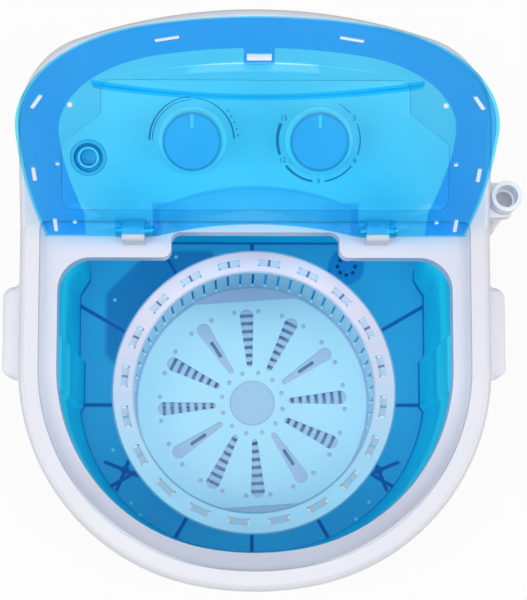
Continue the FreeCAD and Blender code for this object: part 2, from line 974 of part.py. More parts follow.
make_cabinet()
make_rear_cover()
make_rear_cover_screws()
make_base_pan()
for end, foot_y in (("front", foot_front_y), ("rear", foot_rear_y)):
    make_foot(f"foot_{end}_left", -foot_x, foot_y)
    make_foot(f"foot_{end}_right", foot_x, foot_y)
make_handle("side_handle_left", -1)
make_handle("side_handle_right", 1)

# Top cover and lid

def panel_z(y):
    return s.rim_height + (y - s.panel_front) * s.panel_rise / panel_run


def make_top_cover():
    rear = half_depth + s.cut_clear
    front = -(half_depth + s.cut_clear)
    top = s.rim_height + s.panel_rise + s.cut_clear

    hollow = add_body("cover_hollow")
    plan = add_sketch(hollow, "plan", offset=seam)
    draw_loop(plan, body_loop(s.cover_wall))
    pad(hollow, plan, s.cover_skirt + s.panel_rise)
    under = add_sketch(hollow, "under_panel", "YZ_Plane")
    drop = s.panel_wall / cosine(panel_slope)
    draw_polygon(under, [
        (front, cover_ceiling),
        (wedge_rear, cover_ceiling),
        (wedge_rear, panel_z(wedge_rear) - drop),
        (rear, panel_z(rear) - drop),
        (rear, top),
        (front, top),
    ])
    pocket(hollow, under, through, "Symmetric")

    body = add_body("top_cover")
    plan = add_sketch(body, "plan", offset=seam)
    draw_loop(plan, body_loop(zero))
    pad(body, plan, s.cover_skirt + s.panel_rise)
    slope = add_sketch(body, "panel_slope", "YZ_Plane")
    draw_polygon(slope, [
        (front, s.rim_height),
        (s.panel_front, s.rim_height),
        (rear, panel_z(rear)),
        (rear, top),
        (front, top),
    ])
    pocket(body, slope, through, "Symmetric")

    def on_rim(edge):
        middle = edge.CenterOfMass
        low = min(vertex.Z for vertex in edge.Vertexes)
        is_fold = abs(middle.x) < 1e-3 and abs(middle.y - s.panel_front.value) < 1e-3
        return low > s.rim_height.value - 1e-3 and not is_fold

    round_edges(body, s.cover_edge_round, on_rim)
    cut_by(body, hollow)
    lip = add_sketch(body, "lip", offset=seat_level - s.lip_depth)
    draw_loop(lip, opening_loop(s.lip_wall))
    draw_loop(lip, opening_loop(zero))
    pad(body, lip, s.lip_depth)
    seat = add_sketch(body, "lid_seat", offset=seat_level)
    draw_loop(seat, straight_back_loop(s.seat_margin, s.seat_rear, s.seat_corner))
    pocket(body, seat, s.seat_depth + s.cut_clear, reverse=True)
    opening = add_sketch(body, "opening", offset=seat_level)
    draw_loop(opening, opening_loop(zero))
    pocket(body, opening, s.lip_depth + s.cut_clear, "Symmetric")
    posts = add_sketch(body, "hinge_post", "YZ_Plane", s.hinge_half_spacing - s.post_width / 2)
    draw_loop(posts, [
        (s.hinge_y + s.post_radius, seat_level - s.seat_plate / 2, None),
        (s.hinge_y + s.post_radius, hinge_z, s.post_radius),
        (s.hinge_y, hinge_z + s.post_radius, s.post_radius),
        (s.hinge_y - s.post_radius, hinge_z, None),
        (s.hinge_y - s.post_radius, seat_level - s.seat_plate / 2, None),
    ])
    mirror(body, [pad(body, posts, s.post_width)])
    bores = add_sketch(body, "pin_bore", "YZ_Plane")
    draw_circle(bores, s.hinge_y, hinge_z, s.pin_radius + s.pin_clearance)
    pocket(body, bores, through, "Symmetric")
    recess = add_panel_sketch(body, "fascia_recess")
    draw_loop(recess, fascia_loop(s.slip_gap))
    pocket(body, recess, s.fascia_plate - s.fascia_proud + s.press_gap)
    holes = add_panel_sketch(body, "panel_holes")
    for x in (-s.knob_x, s.knob_x):
        draw_circle(holes, x, up_panel(s.knob_y), s.spindle_radius + s.running_gap)
    draw_circle(holes, s.inlet_x, up_panel(s.inlet_y), s.inlet_cup_radius + s.slip_gap)
    pocket(body, holes, s.cut_clear, "Symmetric")
    finish(body)


def up_panel(y):
    """The distance up the sloping panel to a plan position."""
    return (y - s.panel_front) / cosine(panel_slope)


def fascia_loop(grow):
    """The control fascia, in the plane of the panel."""
    wide = s.fascia_half_width + grow
    narrow = s.fascia_top_half_width + grow
    corner = s.fascia_corner + grow
    front = up_panel(s.fascia_front_y) - grow
    shoulder = up_panel(s.fascia_shoulder_y)
    step = up_panel(s.fascia_step_y)
    rear = up_panel(s.fascia_rear_y) + grow
    chain = [
        (wide - corner, front, corner),
        (wide, front + corner, None),
        (wide, shoulder, None),
        (narrow, step, None),
        (narrow, rear - corner, corner),
        (narrow - corner, rear, None),
    ]
    return symmetric(chain, None)


def make_fascia():
    body = add_body("control_fascia")
    plan = add_sketch(body, "plan", offset=s.fascia_proud - s.fascia_plate)
    draw_loop(plan, fascia_loop(zero))
    for x in (-s.knob_x, s.knob_x):
        draw_circle(plan, x, up_panel(s.knob_y), s.spindle_radius + s.running_gap)
    draw_circle(plan, s.inlet_x, up_panel(s.inlet_y), s.inlet_radius + s.slip_gap)
    pad(body, plan, s.fascia_plate)
    place_on_panel(body, zero, s.panel_front)
    finish(body)


def lid_chain(margin):
    """The right side of the shut lid from the front to the hinge, drawn in by a margin."""
    margin = as_size(margin)
    width = s.lid_half_width - margin
    corner = width - s.lid_front_flat
    front = corner + s.lid_front_bulge
    front_centre = front + margin - s.lid_front
    drop = root(s.lid_front_bulge * s.lid_front_bulge - s.lid_front_flat * s.lid_front_flat)
    reach = front / s.lid_front_bulge
    rear_x = s.lid_rear_half_width - margin
    inward = s.lid_half_width - s.lid_rear_half_width
    back = s.lid_rear - s.lid_side_y
    side = (back * back + inward * inward) / (inward * 2)
    chain = [
        (s.lid_front_flat * reach, front_centre - drop * reach, corner),
        (width, front_centre - drop, None),
        (width, s.lid_side_y, side),
    ]
    return chain, front, rear_x


def lid_loop(margin):
    """The shut lid's plan, drawn in by a margin, with the rear edge arched clear of the basket's way out."""
    margin = as_size(margin)
    chain, front, rear_x = lid_chain(margin)
    rise = s.lid_arch_rise
    half = s.lid_arch_half_width
    arch = (half * half + rise * rise) / (rise * 2)
    chain.append((rear_x, s.lid_rear - margin, None))
    chain.append((half, s.lid_rear - margin, None))
    return symmetric(chain, front, -arch)


def scoop_loop(grow):
    """The lens-shaped finger scoop in the lid."""
    grow = as_size(grow)
    half = s.scoop_half_length + grow
    front_rise = s.scoop_front_rise + grow
    rear_rise = s.scoop_rear_rise + grow
    front = (half * half + front_rise * front_rise) / (front_rise * 2)
    rear = (half * half + rear_rise * rear_rise) / (rear_rise * 2)
    return [(-half, s.scoop_y, front), (half, s.scoop_y, rear)]


def cut_lid_top(body, drop):
    """Cuts the lid's crowned top, sloping down from the hinge to the front edge."""
    rear_z = lid_bottom + s.lid_rear_height - drop
    front_z = lid_bottom + s.lid_front_height - drop
    run = s.lid_rear + s.lid_front
    rise = s.lid_rear_height - s.lid_front_height
    chord = run * run + rise * rise
    crown = (chord / 4 + s.lid_crown * s.lid_crown) / (s.lid_crown * 2)
    top = rear_z + s.lid_crown + s.cut_clear
    sketch = add_sketch(body, "crown", "YZ_Plane")
    draw_loop(sketch, [
        (-s.lid_front, front_z, -crown),
        (s.lid_rear, rear_z, None),
        (s.lid_rear + s.cut_clear, rear_z, None),
        (s.lid_rear + s.cut_clear, top, None),
        (-(s.lid_front + s.cut_clear), top, None),
        (-(s.lid_front + s.cut_clear), front_z, None),
    ])
    pocket(body, sketch, through, "Symmetric")


lid_bottom = s.rim_height + s.lid_lift
scoop_floor = lid_bottom + s.scoop_floor_rise
lid_full = s.lid_rear_height + s.lid_crown


def make_lid_shell():
    hollow = add_body("lid_hollow")
    plan = add_sketch(hollow, "plan", offset=lid_bottom)
    draw_loop(plan, lid_loop(s.lid_wall))
    pad(hollow, plan, lid_full)
    cut_lid_top(hollow, s.lid_wall)
    keep = add_sketch(hollow, "scoop_walls", offset=scoop_floor - s.lid_wall)
    draw_loop(keep, scoop_loop(s.lid_wall))
    pocket(hollow, keep, lid_full, reverse=True)

    body = add_body("lid_shell")
    plan = add_sketch(body, "plan", offset=lid_bottom)
    draw_loop(plan, lid_loop(zero))
    pad(body, plan, lid_full)
    cut_lid_top(body, zero)

    def on_top(edge):
        return min(vertex.Z for vertex in edge.Vertexes) > lid_bottom.value + s.lid_front_height.value / 2

    round_edges(body, s.lid_edge_round, on_top)
    cut_by(body, hollow)
    scoop = add_sketch(body, "finger_scoop", offset=scoop_floor)
    draw_loop(scoop, scoop_loop(zero))
    pocket(body, scoop, lid_full, reverse=True)
    inner_ear = s.hinge_half_spacing - s.post_width / 2 - s.ear_gap - s.ear_width
    outer_ear = s.hinge_half_spacing + s.post_width / 2 + s.ear_gap
    pads = []
    for name, x in (("inner_ear", inner_ear), ("outer_ear", outer_ear)):
        ear = add_sketch(body, name, "YZ_Plane", x)
        draw_loop(ear, [
            (s.lid_rear - s.lid_wall, hinge_z - s.ear_radius, None),
            (s.hinge_y, hinge_z - s.ear_radius, s.ear_radius),
            (s.hinge_y + s.ear_radius, hinge_z, s.ear_radius),
            (s.hinge_y, hinge_z + s.ear_radius, None),
            (s.lid_rear - s.lid_wall, hinge_z + s.ear_radius, None),
        ])
        pads.append(pad(body, ear, s.ear_width))
    mirror(body, pads)
    notch = add_sketch(body, "post_notch", offset=lid_bottom)
    for sign in (-1, 1):
        middle = s.hinge_half_spacing * sign
        half = s.post_width / 2 + s.ear_gap
        low = s.hinge_y - s.post_radius - s.running_gap
        draw_box(notch, middle - half, middle + half, low, s.lid_rear + s.cut_clear)
    pocket(body, notch, lid_full, reverse=True)
    bores = add_sketch(body, "pin_bore", "YZ_Plane")
    draw_circle(bores, s.hinge_y, hinge_z, s.pin_radius + s.pin_clearance)
    pocket(body, bores, through, "Symmetric")
    place_on_lid(body)
    finish(body)


def make_lid_frame():
    inner, inner_front, inner_x = lid_chain(s.lid_band)
    body = add_body("lid_frame")
    plan = add_sketch(body, "plan", offset=lid_bottom)
    draw_loop(plan, lid_loop(s.lid_wall + s.lid_frame_gap))
    pad(body, plan, s.lid_frame_plate)
    middle = add_sketch(body, "middle", offset=lid_bottom)
    inner.append((inner_x, s.lid_rear - s.lid_wall - s.lid_band, None))
    draw_loop(middle, symmetric(inner, inner_front))
    pocket(body, middle, s.lid_frame_plate, reverse=True)
    tongue = add_sketch(body, "tongue", offset=lid_bottom)
    low = -s.lid_front + s.lid_band / 2
    draw_box(tongue, -s.tongue_half_width, s.tongue_half_width, low, low + s.lid_band / 2 + s.tongue_length)
    pad(body, tongue, s.lid_frame_plate)
    windows = add_sketch(body, "windows", offset=lid_bottom)
    draw_turned_box(windows, zero, s.window_middle_y, s.window_length, s.window_width, 0)
    slits = [
        (s.window_front_x, s.window_front_y, s.window_front_turn),
        (s.window_corner_x, s.window_corner_y, s.window_corner_turn),
        (s.window_side_x, s.window_side_y, s.window_side_turn),
        (s.window_rear_x, s.window_rear_y, s.window_side_turn),
    ]
    for sign in (-1, 1):
        for x, y, turn_angle in slits:
            draw_turned_box(windows, x * sign, y, s.window_length, s.window_width, turn_angle * sign)
        draw_circle(windows, s.dot_corner_x * sign, s.dot_corner_y, s.dot_radius)
        draw_circle(windows, s.dot_side_x * sign, s.dot_side_y, s.dot_radius)
        draw_circle(windows, s.dot_rear_x * sign, s.dot_rear_y, s.dot_radius)
    pocket(body, windows, s.lid_frame_plate, reverse=True)
    place_on_lid(body)
    finish(body)


def make_hinge_pin(label, sign):
    body = add_body(label)
    length = s.post_width + s.ear_gap * 2 + s.ear_width * 2
    shank = add_sketch(body, "shank", "YZ_Plane", s.hinge_half_spacing * sign - length / 2)
    draw_circle(shank, s.hinge_y, hinge_z, s.pin_radius)
    pad(body, shank, length)
    start = s.hinge_half_spacing * sign + length / 2 + s.press_gap
    head = add_sketch(body, "head", "YZ_Plane", start)
    draw_circle(head, s.hinge_y, hinge_z, s.pin_radius + s.pin_head_lip)
    pad(body, head, s.pin_head)
    neck = add_sketch(body, "neck", "YZ_Plane", start - s.press_gap * 2)
    draw_circle(neck, s.hinge_y, hinge_z, s.pin_radius)
    pad(body, neck, s.press_gap * 4)
    finish(body)


make_top_cover()
make_fascia()
make_lid_shell()
make_lid_frame()
make_hinge_pin("hinge_pin_left", -1)
make_hinge_pin("hinge_pin_right", 1)

# Tub and its seal

mount_angles = (100, 160, 280, 340)
mount_top = floor_under - s.motor_boss_depth
bracket_top = mount_top - s.mount_height
pulsator_bottom = floor_level + s.running_gap * 2


def motor_mount_places():
    """The four motor mounts, as x and y."""
    radius = s.bracket_bolt_radius
    return [(s.motor_x + radius * cosine(a), s.motor_y + radius * sine(a)) for a in mount_angles]


def star_places():
    return [(s.star_x * sign, y) for sign in (-1, 1) for y in (s.star_front_y, s.star_rear_y)]


def make_tub():
    body = add_body("tub")
    outside = add_sketch(body, "outside", offset=floor_under)
    outer_corner = s.tub_rear_corner + s.tub_wall
    draw_loop(outside, tub_loop(tub_margin - s.tub_wall, s.tub_rear + s.tub_wall, outer_corner))
    pad(body, outside, tub_top - floor_under)
    collar_bottom = tub_top - s.tub_collar
    collar = add_sketch(body, "collar", offset=collar_bottom - s.tub_wall)
    draw_loop(collar, straight_back_loop(tub_margin - s.tub_wall, s.tub_rear + s.tub_wall, outer_corner))
    pad(body, collar, s.tub_collar + s.tub_wall)
    flange = add_sketch(body, "flange", offset=tub_top - s.tub_flange_plate)
    draw_loop(flange, tub_flange_loop())
    pad(body, flange, s.tub_flange_plate)
    inside = add_sketch(body, "inside", offset=floor_level)
    draw_loop(inside, tub_loop(tub_margin, s.tub_rear, s.tub_rear_corner))
    pocket(body, inside, tub_top - floor_level, reverse=True)
    mouth = add_sketch(body, "mouth", offset=collar_bottom)
    draw_loop(mouth, straight_back_loop(tub_margin, s.tub_rear, s.tub_rear_corner))
    pocket(body, mouth, s.tub_collar, reverse=True)
    ribs = add_sketch(body, "ribs", offset=floor_under)
    rib_length = half_depth - s.rib_inner_radius
    rib_middle = s.rib_inner_radius + rib_length / 2
    for index in range(round(s.rib_count.value)):
        angle = 360 / s.rib_count.value * index
        x = rib_middle * cosine(angle)
        y = s.axis_y + rib_middle * sine(angle)
        draw_turned_box(ribs, x, y, rib_length, s.rib_thickness, angle)
    pad(body, ribs, s.rib_depth, reverse=True)
    stars = add_sketch(body, "star_hubs", offset=floor_under)
    for x, y in star_places():
        draw_circle(stars, x, y, s.star_radius)
    pad(body, stars, s.star_depth, reverse=True)
    for name, angle in (("star_arms", s.star_turn), ("star_cross_arms", s.star_turn + 90)):
        arms = add_sketch(body, name, offset=floor_under)
        for x, y in star_places():
            draw_turned_box(arms, x, y, s.star_arm * 2, s.rib_thickness, angle)
        pad(body, arms, s.rib_depth, reverse=True)
    around = add_sketch(body, "around_ribs", offset=floor_under)
    wide = s.body_width
    draw_box(around, -wide, wide, -wide, wide)
    draw_loop(around, tub_loop(tub_margin, s.tub_rear, s.tub_rear_corner))
    pocket(body, around, s.star_depth)
    bosses = add_sketch(body, "motor_bosses", offset=floor_under)
    for x, y in motor_mount_places():
        draw_circle(bosses, x, y, s.mount_radius)
    pad(body, bosses, s.motor_boss_depth, reverse=True)
    clear = add_sketch(body, "housing_clearance", offset=floor_under)
    draw_circle(clear, zero, s.axis_y, s.housing_flange_radius + s.running_gap)
    draw_circle(clear, s.drain_x, s.drain_y, s.strainer_radius)
    pocket(body, clear, s.star_depth)
    threads = add_sketch(body, "motor_screw_holes", offset=mount_top)
    for x, y in motor_mount_places():
        draw_circle(threads, x, y, s.screw_radius + s.press_gap)
    pocket(body, threads, s.motor_boss_depth, reverse=True)
    holes = add_sketch(body, "floor_holes", offset=floor_level)
    draw_circle(holes, zero, s.axis_y, s.neck_radius + s.press_gap)
    draw_circle(holes, s.drain_x, s.drain_y, s.strainer_neck_radius + s.press_gap)
    for x, y in housing_screw_places():
        draw_circle(holes, x, y, s.screw_radius + s.press_gap)
    pocket(body, holes, s.star_depth * 2, "Symmetric")
    fill = add_sketch(body, "fill_hole", "XZ_Plane")
    draw_circle(fill, s.inlet_x, s.fill_z, s.fill_radius + s.press_gap)
    pocket(body, fill, through)
    finish(body)


def housing_screw_places():
    """The screws of the bearing housing, as x and y."""
    radius = (s.housing_flange_radius + s.housing_radius) / 2 + s.running_gap
    return [(radius * cosine(a), s.axis_y + radius * sine(a)) for a in (45, 135, 225, 315)]


def tub_flange_loop():
    margin = tub_margin - s.tub_wall - s.tub_flange
    return straight_back_loop(margin, s.tub_rear + s.tub_wall + s.tub_flange, s.tub_rear_corner)


def make_gasket():
    body = add_body("tub_gasket")
    ring = add_sketch(body, "ring", offset=tub_top + s.press_gap)
    margin = tub_margin - s.tub_wall
    draw_loop(ring, tub_flange_loop())
    draw_loop(ring, straight_back_loop(margin, s.tub_rear + s.tub_wall, s.tub_rear_corner))
    pad(body, ring, s.gasket_thickness - s.press_gap * 2)
    finish(body)


make_tub()
make_gasket()

# Spin basket, its ring, the press plate and the pulsator

basket_top = s.rim_height - s.basket_drop
pulsator_top = pulsator_bottom + s.pulsator_plate
hex_top = pulsator_top + s.hex_height
basket_under = hex_top + s.screw_head + s.running_gap * 2
basket_inside = basket_under + s.basket_floor
wall_top = basket_top - s.ring_plate - s.slip_gap
basket_outside = s.basket_radius + s.basket_wall


def hexagon(flats):
    """A hexagon by its distance across flats."""
    corner = flats / 2 / cosine(30)
    return [(corner * cosine(60 * i), corner * sine(60 * i)) for i in range(6)]


def arc_slot(inner, outer, start, end):
    """A slot along an arc about the origin."""
    return [
        (inner * cosine(start), inner * sine(start), None),
        (outer * cosine(start), outer * sine(start), outer),
        (outer * cosine(end), outer * sine(end), None),
        (inner * cosine(end), inner * sine(end), -inner),
    ]


def make_basket():
    body = add_body("spin_basket")
    profile = add_sketch(body, "profile", "XZ_Plane")
    socket_bottom = pulsator_top + s.slip_gap
    flange_radius = s.ring_outer_radius - s.ring_wall - s.slip_gap
    draw_polygon(profile, [
        (zero, basket_under),
        (zero, socket_bottom),
        (s.socket_radius, socket_bottom),
        (s.socket_radius, basket_under),
        (basket_outside - s.basket_wall, basket_under),
        (basket_outside, basket_under + s.basket_wall),
        (basket_outside, wall_top - s.ring_plate),
        (flange_radius, wall_top - s.ring_plate),
        (flange_radius, wall_top),
        (s.basket_radius, wall_top),
        (s.basket_radius, basket_inside),
        (zero, basket_inside),
    ])
    turn(body, "Revolution", profile)
    socket = add_sketch(body, "socket", offset=socket_bottom)
    draw_polygon(socket, hexagon(s.hex_flats + s.slip_gap * 2))
    pocket(body, socket, basket_under - socket_bottom, reverse=True)
    slot = add_sketch(body, "wall_slot", "XZ_Plane", basket_outside + s.running_gap)
    half_slot = s.slot_width / 2
    draw_box(slot, -half_slot, half_slot, basket_inside + s.slot_margin, wall_top - s.slot_margin)
    polar(body, [pocket(body, slot, s.basket_wall + s.running_gap * 2)], s.slot_count)
    arcs = add_sketch(body, "floor_arcs", offset=basket_inside)
    middle = 90 - s.floor_slot_turn
    for index in range(round(s.floor_slot_rows.value)):
        inner = s.floor_slot_start + s.floor_slot_pitch * index
        start = middle - s.floor_slot_sweep / 2
        draw_loop(arcs, arc_slot(inner, inner + s.floor_slot_width, start, start + s.floor_slot_sweep))
    slit_angle = middle - 45
    slit_middle = s.floor_slit_start + s.floor_slit_length / 2
    slit_x = slit_middle * cosine(slit_angle)
    slit_y = slit_middle * sine(slit_angle)
    draw_turned_box(arcs, slit_x, slit_y, s.floor_slit_length, s.floor_slot_width, slit_angle)
    polar(body, [pocket(body, arcs, s.basket_floor)], 4)
    place(body, zero, s.axis_y)
    finish(body)


def make_ring():
    body = add_body("basket_ring")
    profile = add_sketch(body, "profile", "XZ_Plane")
    skirt = basket_top - s.ring_skirt
    inner_skirt = basket_top - s.ring_inner_skirt
    under = basket_top - s.ring_plate
    draw_polygon(profile, [
        (s.ring_inner_radius, basket_top - s.ring_edge),
        (s.ring_inner_radius, inner_skirt),
        (s.ring_inner_radius + s.ring_wall, inner_skirt),
        (s.ring_inner_radius + s.ring_wall, under),
        (s.ring_outer_radius - s.ring_wall, under),
        (s.ring_outer_radius - s.ring_wall, skirt),
        (s.ring_outer_radius, skirt),
        (s.ring_outer_radius, basket_top - s.ring_edge),
        (s.ring_outer_radius - s.ring_edge, basket_top),
        (s.ring_inner_radius + s.ring_edge, basket_top),
    ])
    turn(body, "Revolution", profile)
    radius = (s.ring_inner_radius + s.ring_outer_radius) / 2 - s.running_gap
    angle = 90 - s.ring_window_turn
    window = add_sketch(body, "window", offset=basket_top)
    middle_x = radius * cosine(angle)
    middle_y = radius * sine(angle)
    draw_turned_box(window, middle_x, middle_y, s.ring_window_length, s.ring_window_width, angle + 90)
    recess = pocket(body, window, s.ring_plate / 2)
    ends = add_sketch(body, "window_ends", offset=basket_top)
    for sign in (-1, 1):
        swing = angle + s.ring_slit_swing * sign
        end_x = radius * cosine(swing)
        end_y = radius * sine(swing)
        draw_turned_box(ends, end_x, end_y, s.ring_hole / 2, s.ring_window_width, swing + 90)
    slits = pocket(body, ends, s.ring_plate)
    polar(body, [recess, slits], s.ring_window_count)
    place(body, zero, s.axis_y)
    finish(body)


def make_press_plate():
    body = add_body("press_plate")
    bottom = basket_inside + s.slip_gap
    disc = add_sketch(body, "disc", offset=bottom)
    reach = root(s.plate_radius * s.plate_radius - s.plate_flat * s.plate_flat)
    draw_loop(disc, [
        (reach, -s.plate_flat, s.plate_radius),
        (s.plate_radius, zero, s.plate_radius),
        (reach, s.plate_flat, None),
        (-reach, s.plate_flat, s.plate_radius),
        (-s.plate_radius, zero, s.plate_radius),
        (-reach, -s.plate_flat, None),
    ])
    pad(body, disc, s.plate_thickness)
    hub = add_sketch(body, "hub", offset=bottom + s.plate_thickness)
    draw_circle(hub, zero, zero, s.plate_hub_radius)
    pad(body, hub, s.plate_hub_rise)
    narrow = s.plate_slot_narrow / 2
    wide = s.plate_slot_wide / 2
    slot = add_sketch(body, "slot", offset=bottom)
    draw_loop(slot, [
        (narrow, s.plate_slot_inner, None),
        (wide, s.plate_slot_outer, wide),
        (zero, s.plate_slot_outer + wide, wide),
        (-wide, s.plate_slot_outer, None),
        (-narrow, s.plate_slot_inner, narrow),
        (zero, s.plate_slot_inner - narrow, narrow),
    ])
    slots = pocket(body, slot, s.plate_thickness, reverse=True)
    holes = add_sketch(body, "holes", offset=bottom)
    for sign in (-1, 1):
        angle = 90 + s.plate_hole_swing * sign
        circle = s.plate_hole_circle
        draw_circle(holes, circle * cosine(angle), circle * sine(angle), s.plate_hole / 2)
    between = 90 + s.plate_hole_swing * 2
    inner = s.plate_inner_circle
    draw_circle(holes, inner * cosine(between), inner * sine(between), s.plate_hole / 2)
    drilled = pocket(body, holes, s.plate_thickness, reverse=True)
    polar(body, [slots, drilled], s.plate_slot_count)
    turned = FreeCAD.Rotation(Vector(0, 0, 1), s.plate_turn.value)
    body.Placement = FreeCAD.Placement(Vector(0, s.axis_y.value, 0), turned)
    finish(body)


def make_pulsator():
    body = add_body("pulsator")
    disc = add_sketch(body, "disc", offset=pulsator_bottom)
    draw_circle(disc, zero, zero, s.pulsator_radius)
    pad(body, disc, s.pulsator_plate)
    vane = add_sketch(body, "vane", offset=pulsator_top)
    half_vane = s.vane_thickness / 2
    draw_box(vane, s.hex_flats, s.pulsator_radius - s.running_gap * 2, -half_vane, half_vane)
    polar(body, [pad(body, vane, s.vane_height)], s.vane_count)
    boss = add_sketch(body, "boss", offset=pulsator_top)
    draw_polygon(boss, hexagon(s.hex_flats))
    pad(body, boss, s.hex_height)
    bore = add_sketch(body, "shaft_bore", offset=pulsator_bottom)
    draw_circle(bore, zero, zero, s.shaft_radius + s.shaft_fit)
    pocket(body, bore, s.pulsator_plate + s.hex_height - s.hex_roof, reverse=True)
    hole = add_sketch(body, "screw_hole", offset=hex_top)
    draw_circle(hole, zero, zero, s.screw_radius + s.press_gap)
    pocket(body, hole, s.hex_roof)
    place(body, zero, s.axis_y)
    finish(body)


make_basket()
make_ring()
make_press_plate()
make_pulsator()
seat = Vector(0, s.axis_y.value, hex_top.value + s.screw_gap.value)
screw_group("pulsator_screw", [(seat, Vector(0, 0, -1))], s.screw_length)

# Drive train

shaft_top = hex_top - s.hex_roof - s.press_gap
housing_top = floor_under - s.press_gap
housing_bottom = housing_top - s.housing_length
pulley_top = housing_bottom - s.pulley_drop
pulley_bottom = pulley_top - s.pulley_width
motor_top = bracket_top - s.bracket_plate - s.press_gap
motor_height = s.stator_height + s.bell_height * 2
motor_bottom = motor_top - motor_height
motor_middle = motor_top - motor_height / 2
groove_middle = (pulley_top + pulley_bottom) / 2


def revolved(label, points, x, y):
    """A body turned from a profile of radius and height, placed on a vertical axis."""
    body = add_body(label)
    profile = add_sketch(body, "profile", "XZ_Plane")
    draw_polygon(profile, points)
    turn(body, "Revolution", profile)
    place(body, x, y)
    return body


def make_shaft():
    bottom = pulley_bottom - s.nut_height - s.nut_gap * 2
    body = revolved("drive_shaft", [
        (zero, bottom),
        (s.shaft_radius, bottom),
        (s.shaft_radius, shaft_top),
        (zero, shaft_top),
    ], zero, s.axis_y)
    hole = add_sketch(body, "screw_hole", offset=shaft_top)
    draw_circle(hole, zero, zero, s.screw_radius + s.press_gap)
    pocket(body, hole, s.screw_length)
    finish(body)


def make_housing():
    neck_top = floor_level + s.running_gap
    seat_radius = s.bush_radius + s.press_gap
    waist = s.shaft_radius + s.running_gap
    body = revolved("bearing_housing", [
        (seat_radius, housing_bottom),
        (s.housing_radius, housing_bottom),
        (s.housing_radius, housing_top - s.housing_flange),
        (s.housing_flange_radius, housing_top - s.housing_flange),
        (s.housing_flange_radius, housing_top),
        (s.neck_radius, housing_top),
        (s.neck_radius, neck_top),
        (seat_radius, neck_top),
        (seat_radius, neck_top - s.seal_length - s.bush_length),
        (waist, neck_top - s.seal_length - s.bush_length),
        (waist, housing_bottom + s.bush_length),
        (seat_radius, housing_bottom + s.bush_length),
    ], zero, s.axis_y)
    holes = add_sketch(body, "screw_holes", offset=housing_top - s.housing_flange)
    for x, y in housing_screw_places():
        draw_circle(holes, x, y - s.axis_y, s.screw_radius + s.press_gap)
    pocket(body, holes, s.housing_flange, reverse=True)
    web = add_sketch(body, "web", "XZ_Plane")
    draw_polygon(web, [
        (s.housing_radius - s.running_gap, housing_top - s.housing_flange),
        (s.housing_radius - s.running_gap, housing_top - s.housing_length / 2),
        (s.housing_flange_radius - s.running_gap, housing_top - s.housing_flange),
    ])
    polar(body, [pad(body, web, s.housing_flange, "Symmetric")], 4)
    finish(body)


def make_sleeve(label, bottom, length, outer, inner):
    return finish(revolved(label, [
        (inner, bottom),
        (outer, bottom),
        (outer, bottom + length),
        (inner, bottom + length),
    ], zero, s.axis_y))


def make_pulley(label, radius, bore, hub_radius, x, y, web):
    """A pulley with a vee groove, and with a thin web where there is room for one."""
    inner = radius - s.groove_depth
    rim = inner - s.pulley_wall
    middle = groove_middle
    half = s.pulley_width / 2
    floor = s.belt_width / 2 + s.slip_gap
    points = [(bore, middle - half)]
    if web:
        points += [
            (hub_radius, middle - half),
            (hub_radius, middle - s.pulley_wall / 2),
            (rim, middle - s.pulley_wall / 2),
            (rim, middle - half),
        ]
    points += [
        (radius, middle - half),
        (radius, middle - half + s.pulley_lip),
        (inner, middle - floor),
        (inner, middle + floor),
        (radius, middle + half - s.pulley_lip),
        (radius, middle + half),
    ]
    if web:
        points += [
            (rim, middle + half),
            (rim, middle + s.pulley_wall / 2),
            (hub_radius, middle + s.pulley_wall / 2),
            (hub_radius, middle + half),
        ]
    points.append((bore, middle + half))
    body = revolved(label, points, x, y)
    if web:
        holes = add_sketch(body, "web_hole", offset=middle + half)
        circle = (hub_radius + rim) / 2
        draw_circle(holes, circle, zero, (rim - hub_radius) / 3)
        polar(body, [pocket(body, holes, s.pulley_width)], 6)
    return finish(body)


def make_nut():
    body = add_body("pulley_nut")
    plan = add_sketch(body, "plan", offset=pulley_bottom - s.nut_gap - s.nut_height)
    draw_polygon(plan, hexagon(s.nut_flats))
    draw_circle(plan, zero, zero, s.shaft_radius + s.shaft_fit)
    pad(body, plan, s.nut_height)
    place(body, zero, s.axis_y)
    finish(body)


def belt_face(drive, motor, z):
    """The area inside a belt run round both pulleys at the given radii."""
    first = Vector(0, s.axis_y.value, z)
    second = Vector(s.motor_x.value, s.motor_y.value, z)
    along = second - first
    bearing = math.atan2(along.y, along.x)
    spread = math.acos((drive - motor) / along.Length)

    def on(centre, radius, angle):
        return centre + Vector(math.cos(angle), math.sin(angle), 0) * radius

    drive_far = Part.Arc(on(first, drive, bearing + spread), on(first, drive, bearing + math.pi),
                         on(first, drive, bearing - spread))
    motor_far = Part.Arc(on(second, motor, bearing - spread), on(second, motor, bearing),
                         on(second, motor, bearing + spread))
    edges = [
        drive_far.toShape(),
        Part.LineSegment(on(first, drive, bearing - spread), on(second, motor, bearing - spread)).toShape(),
        motor_far.toShape(),
        Part.LineSegment(on(second, motor, bearing + spread), on(first, drive, bearing + spread)).toShape(),
    ]
    return Part.Face(Part.Wire(edges))


def make_belt():
    inner_gap = s.slip_gap.value
    drive = (s.drive_pulley_radius - s.groove_depth).value + inner_gap
    motor = (s.motor_pulley_radius - s.groove_depth).value + inner_gap
    thick = s.belt_thickness.value
    bottom = (groove_middle - s.belt_width / 2).value
    ring = belt_face(drive + thick, motor + thick, bottom).cut(belt_face(drive, motor, bottom))
    belt = doc.addObject("Part::Feature", "drive_belt")
    belt.Label = "drive_belt"
    belt.Shape = ring.extrude(Vector(0, 0, s.belt_width.value)).Solids[0]
    finish(belt)


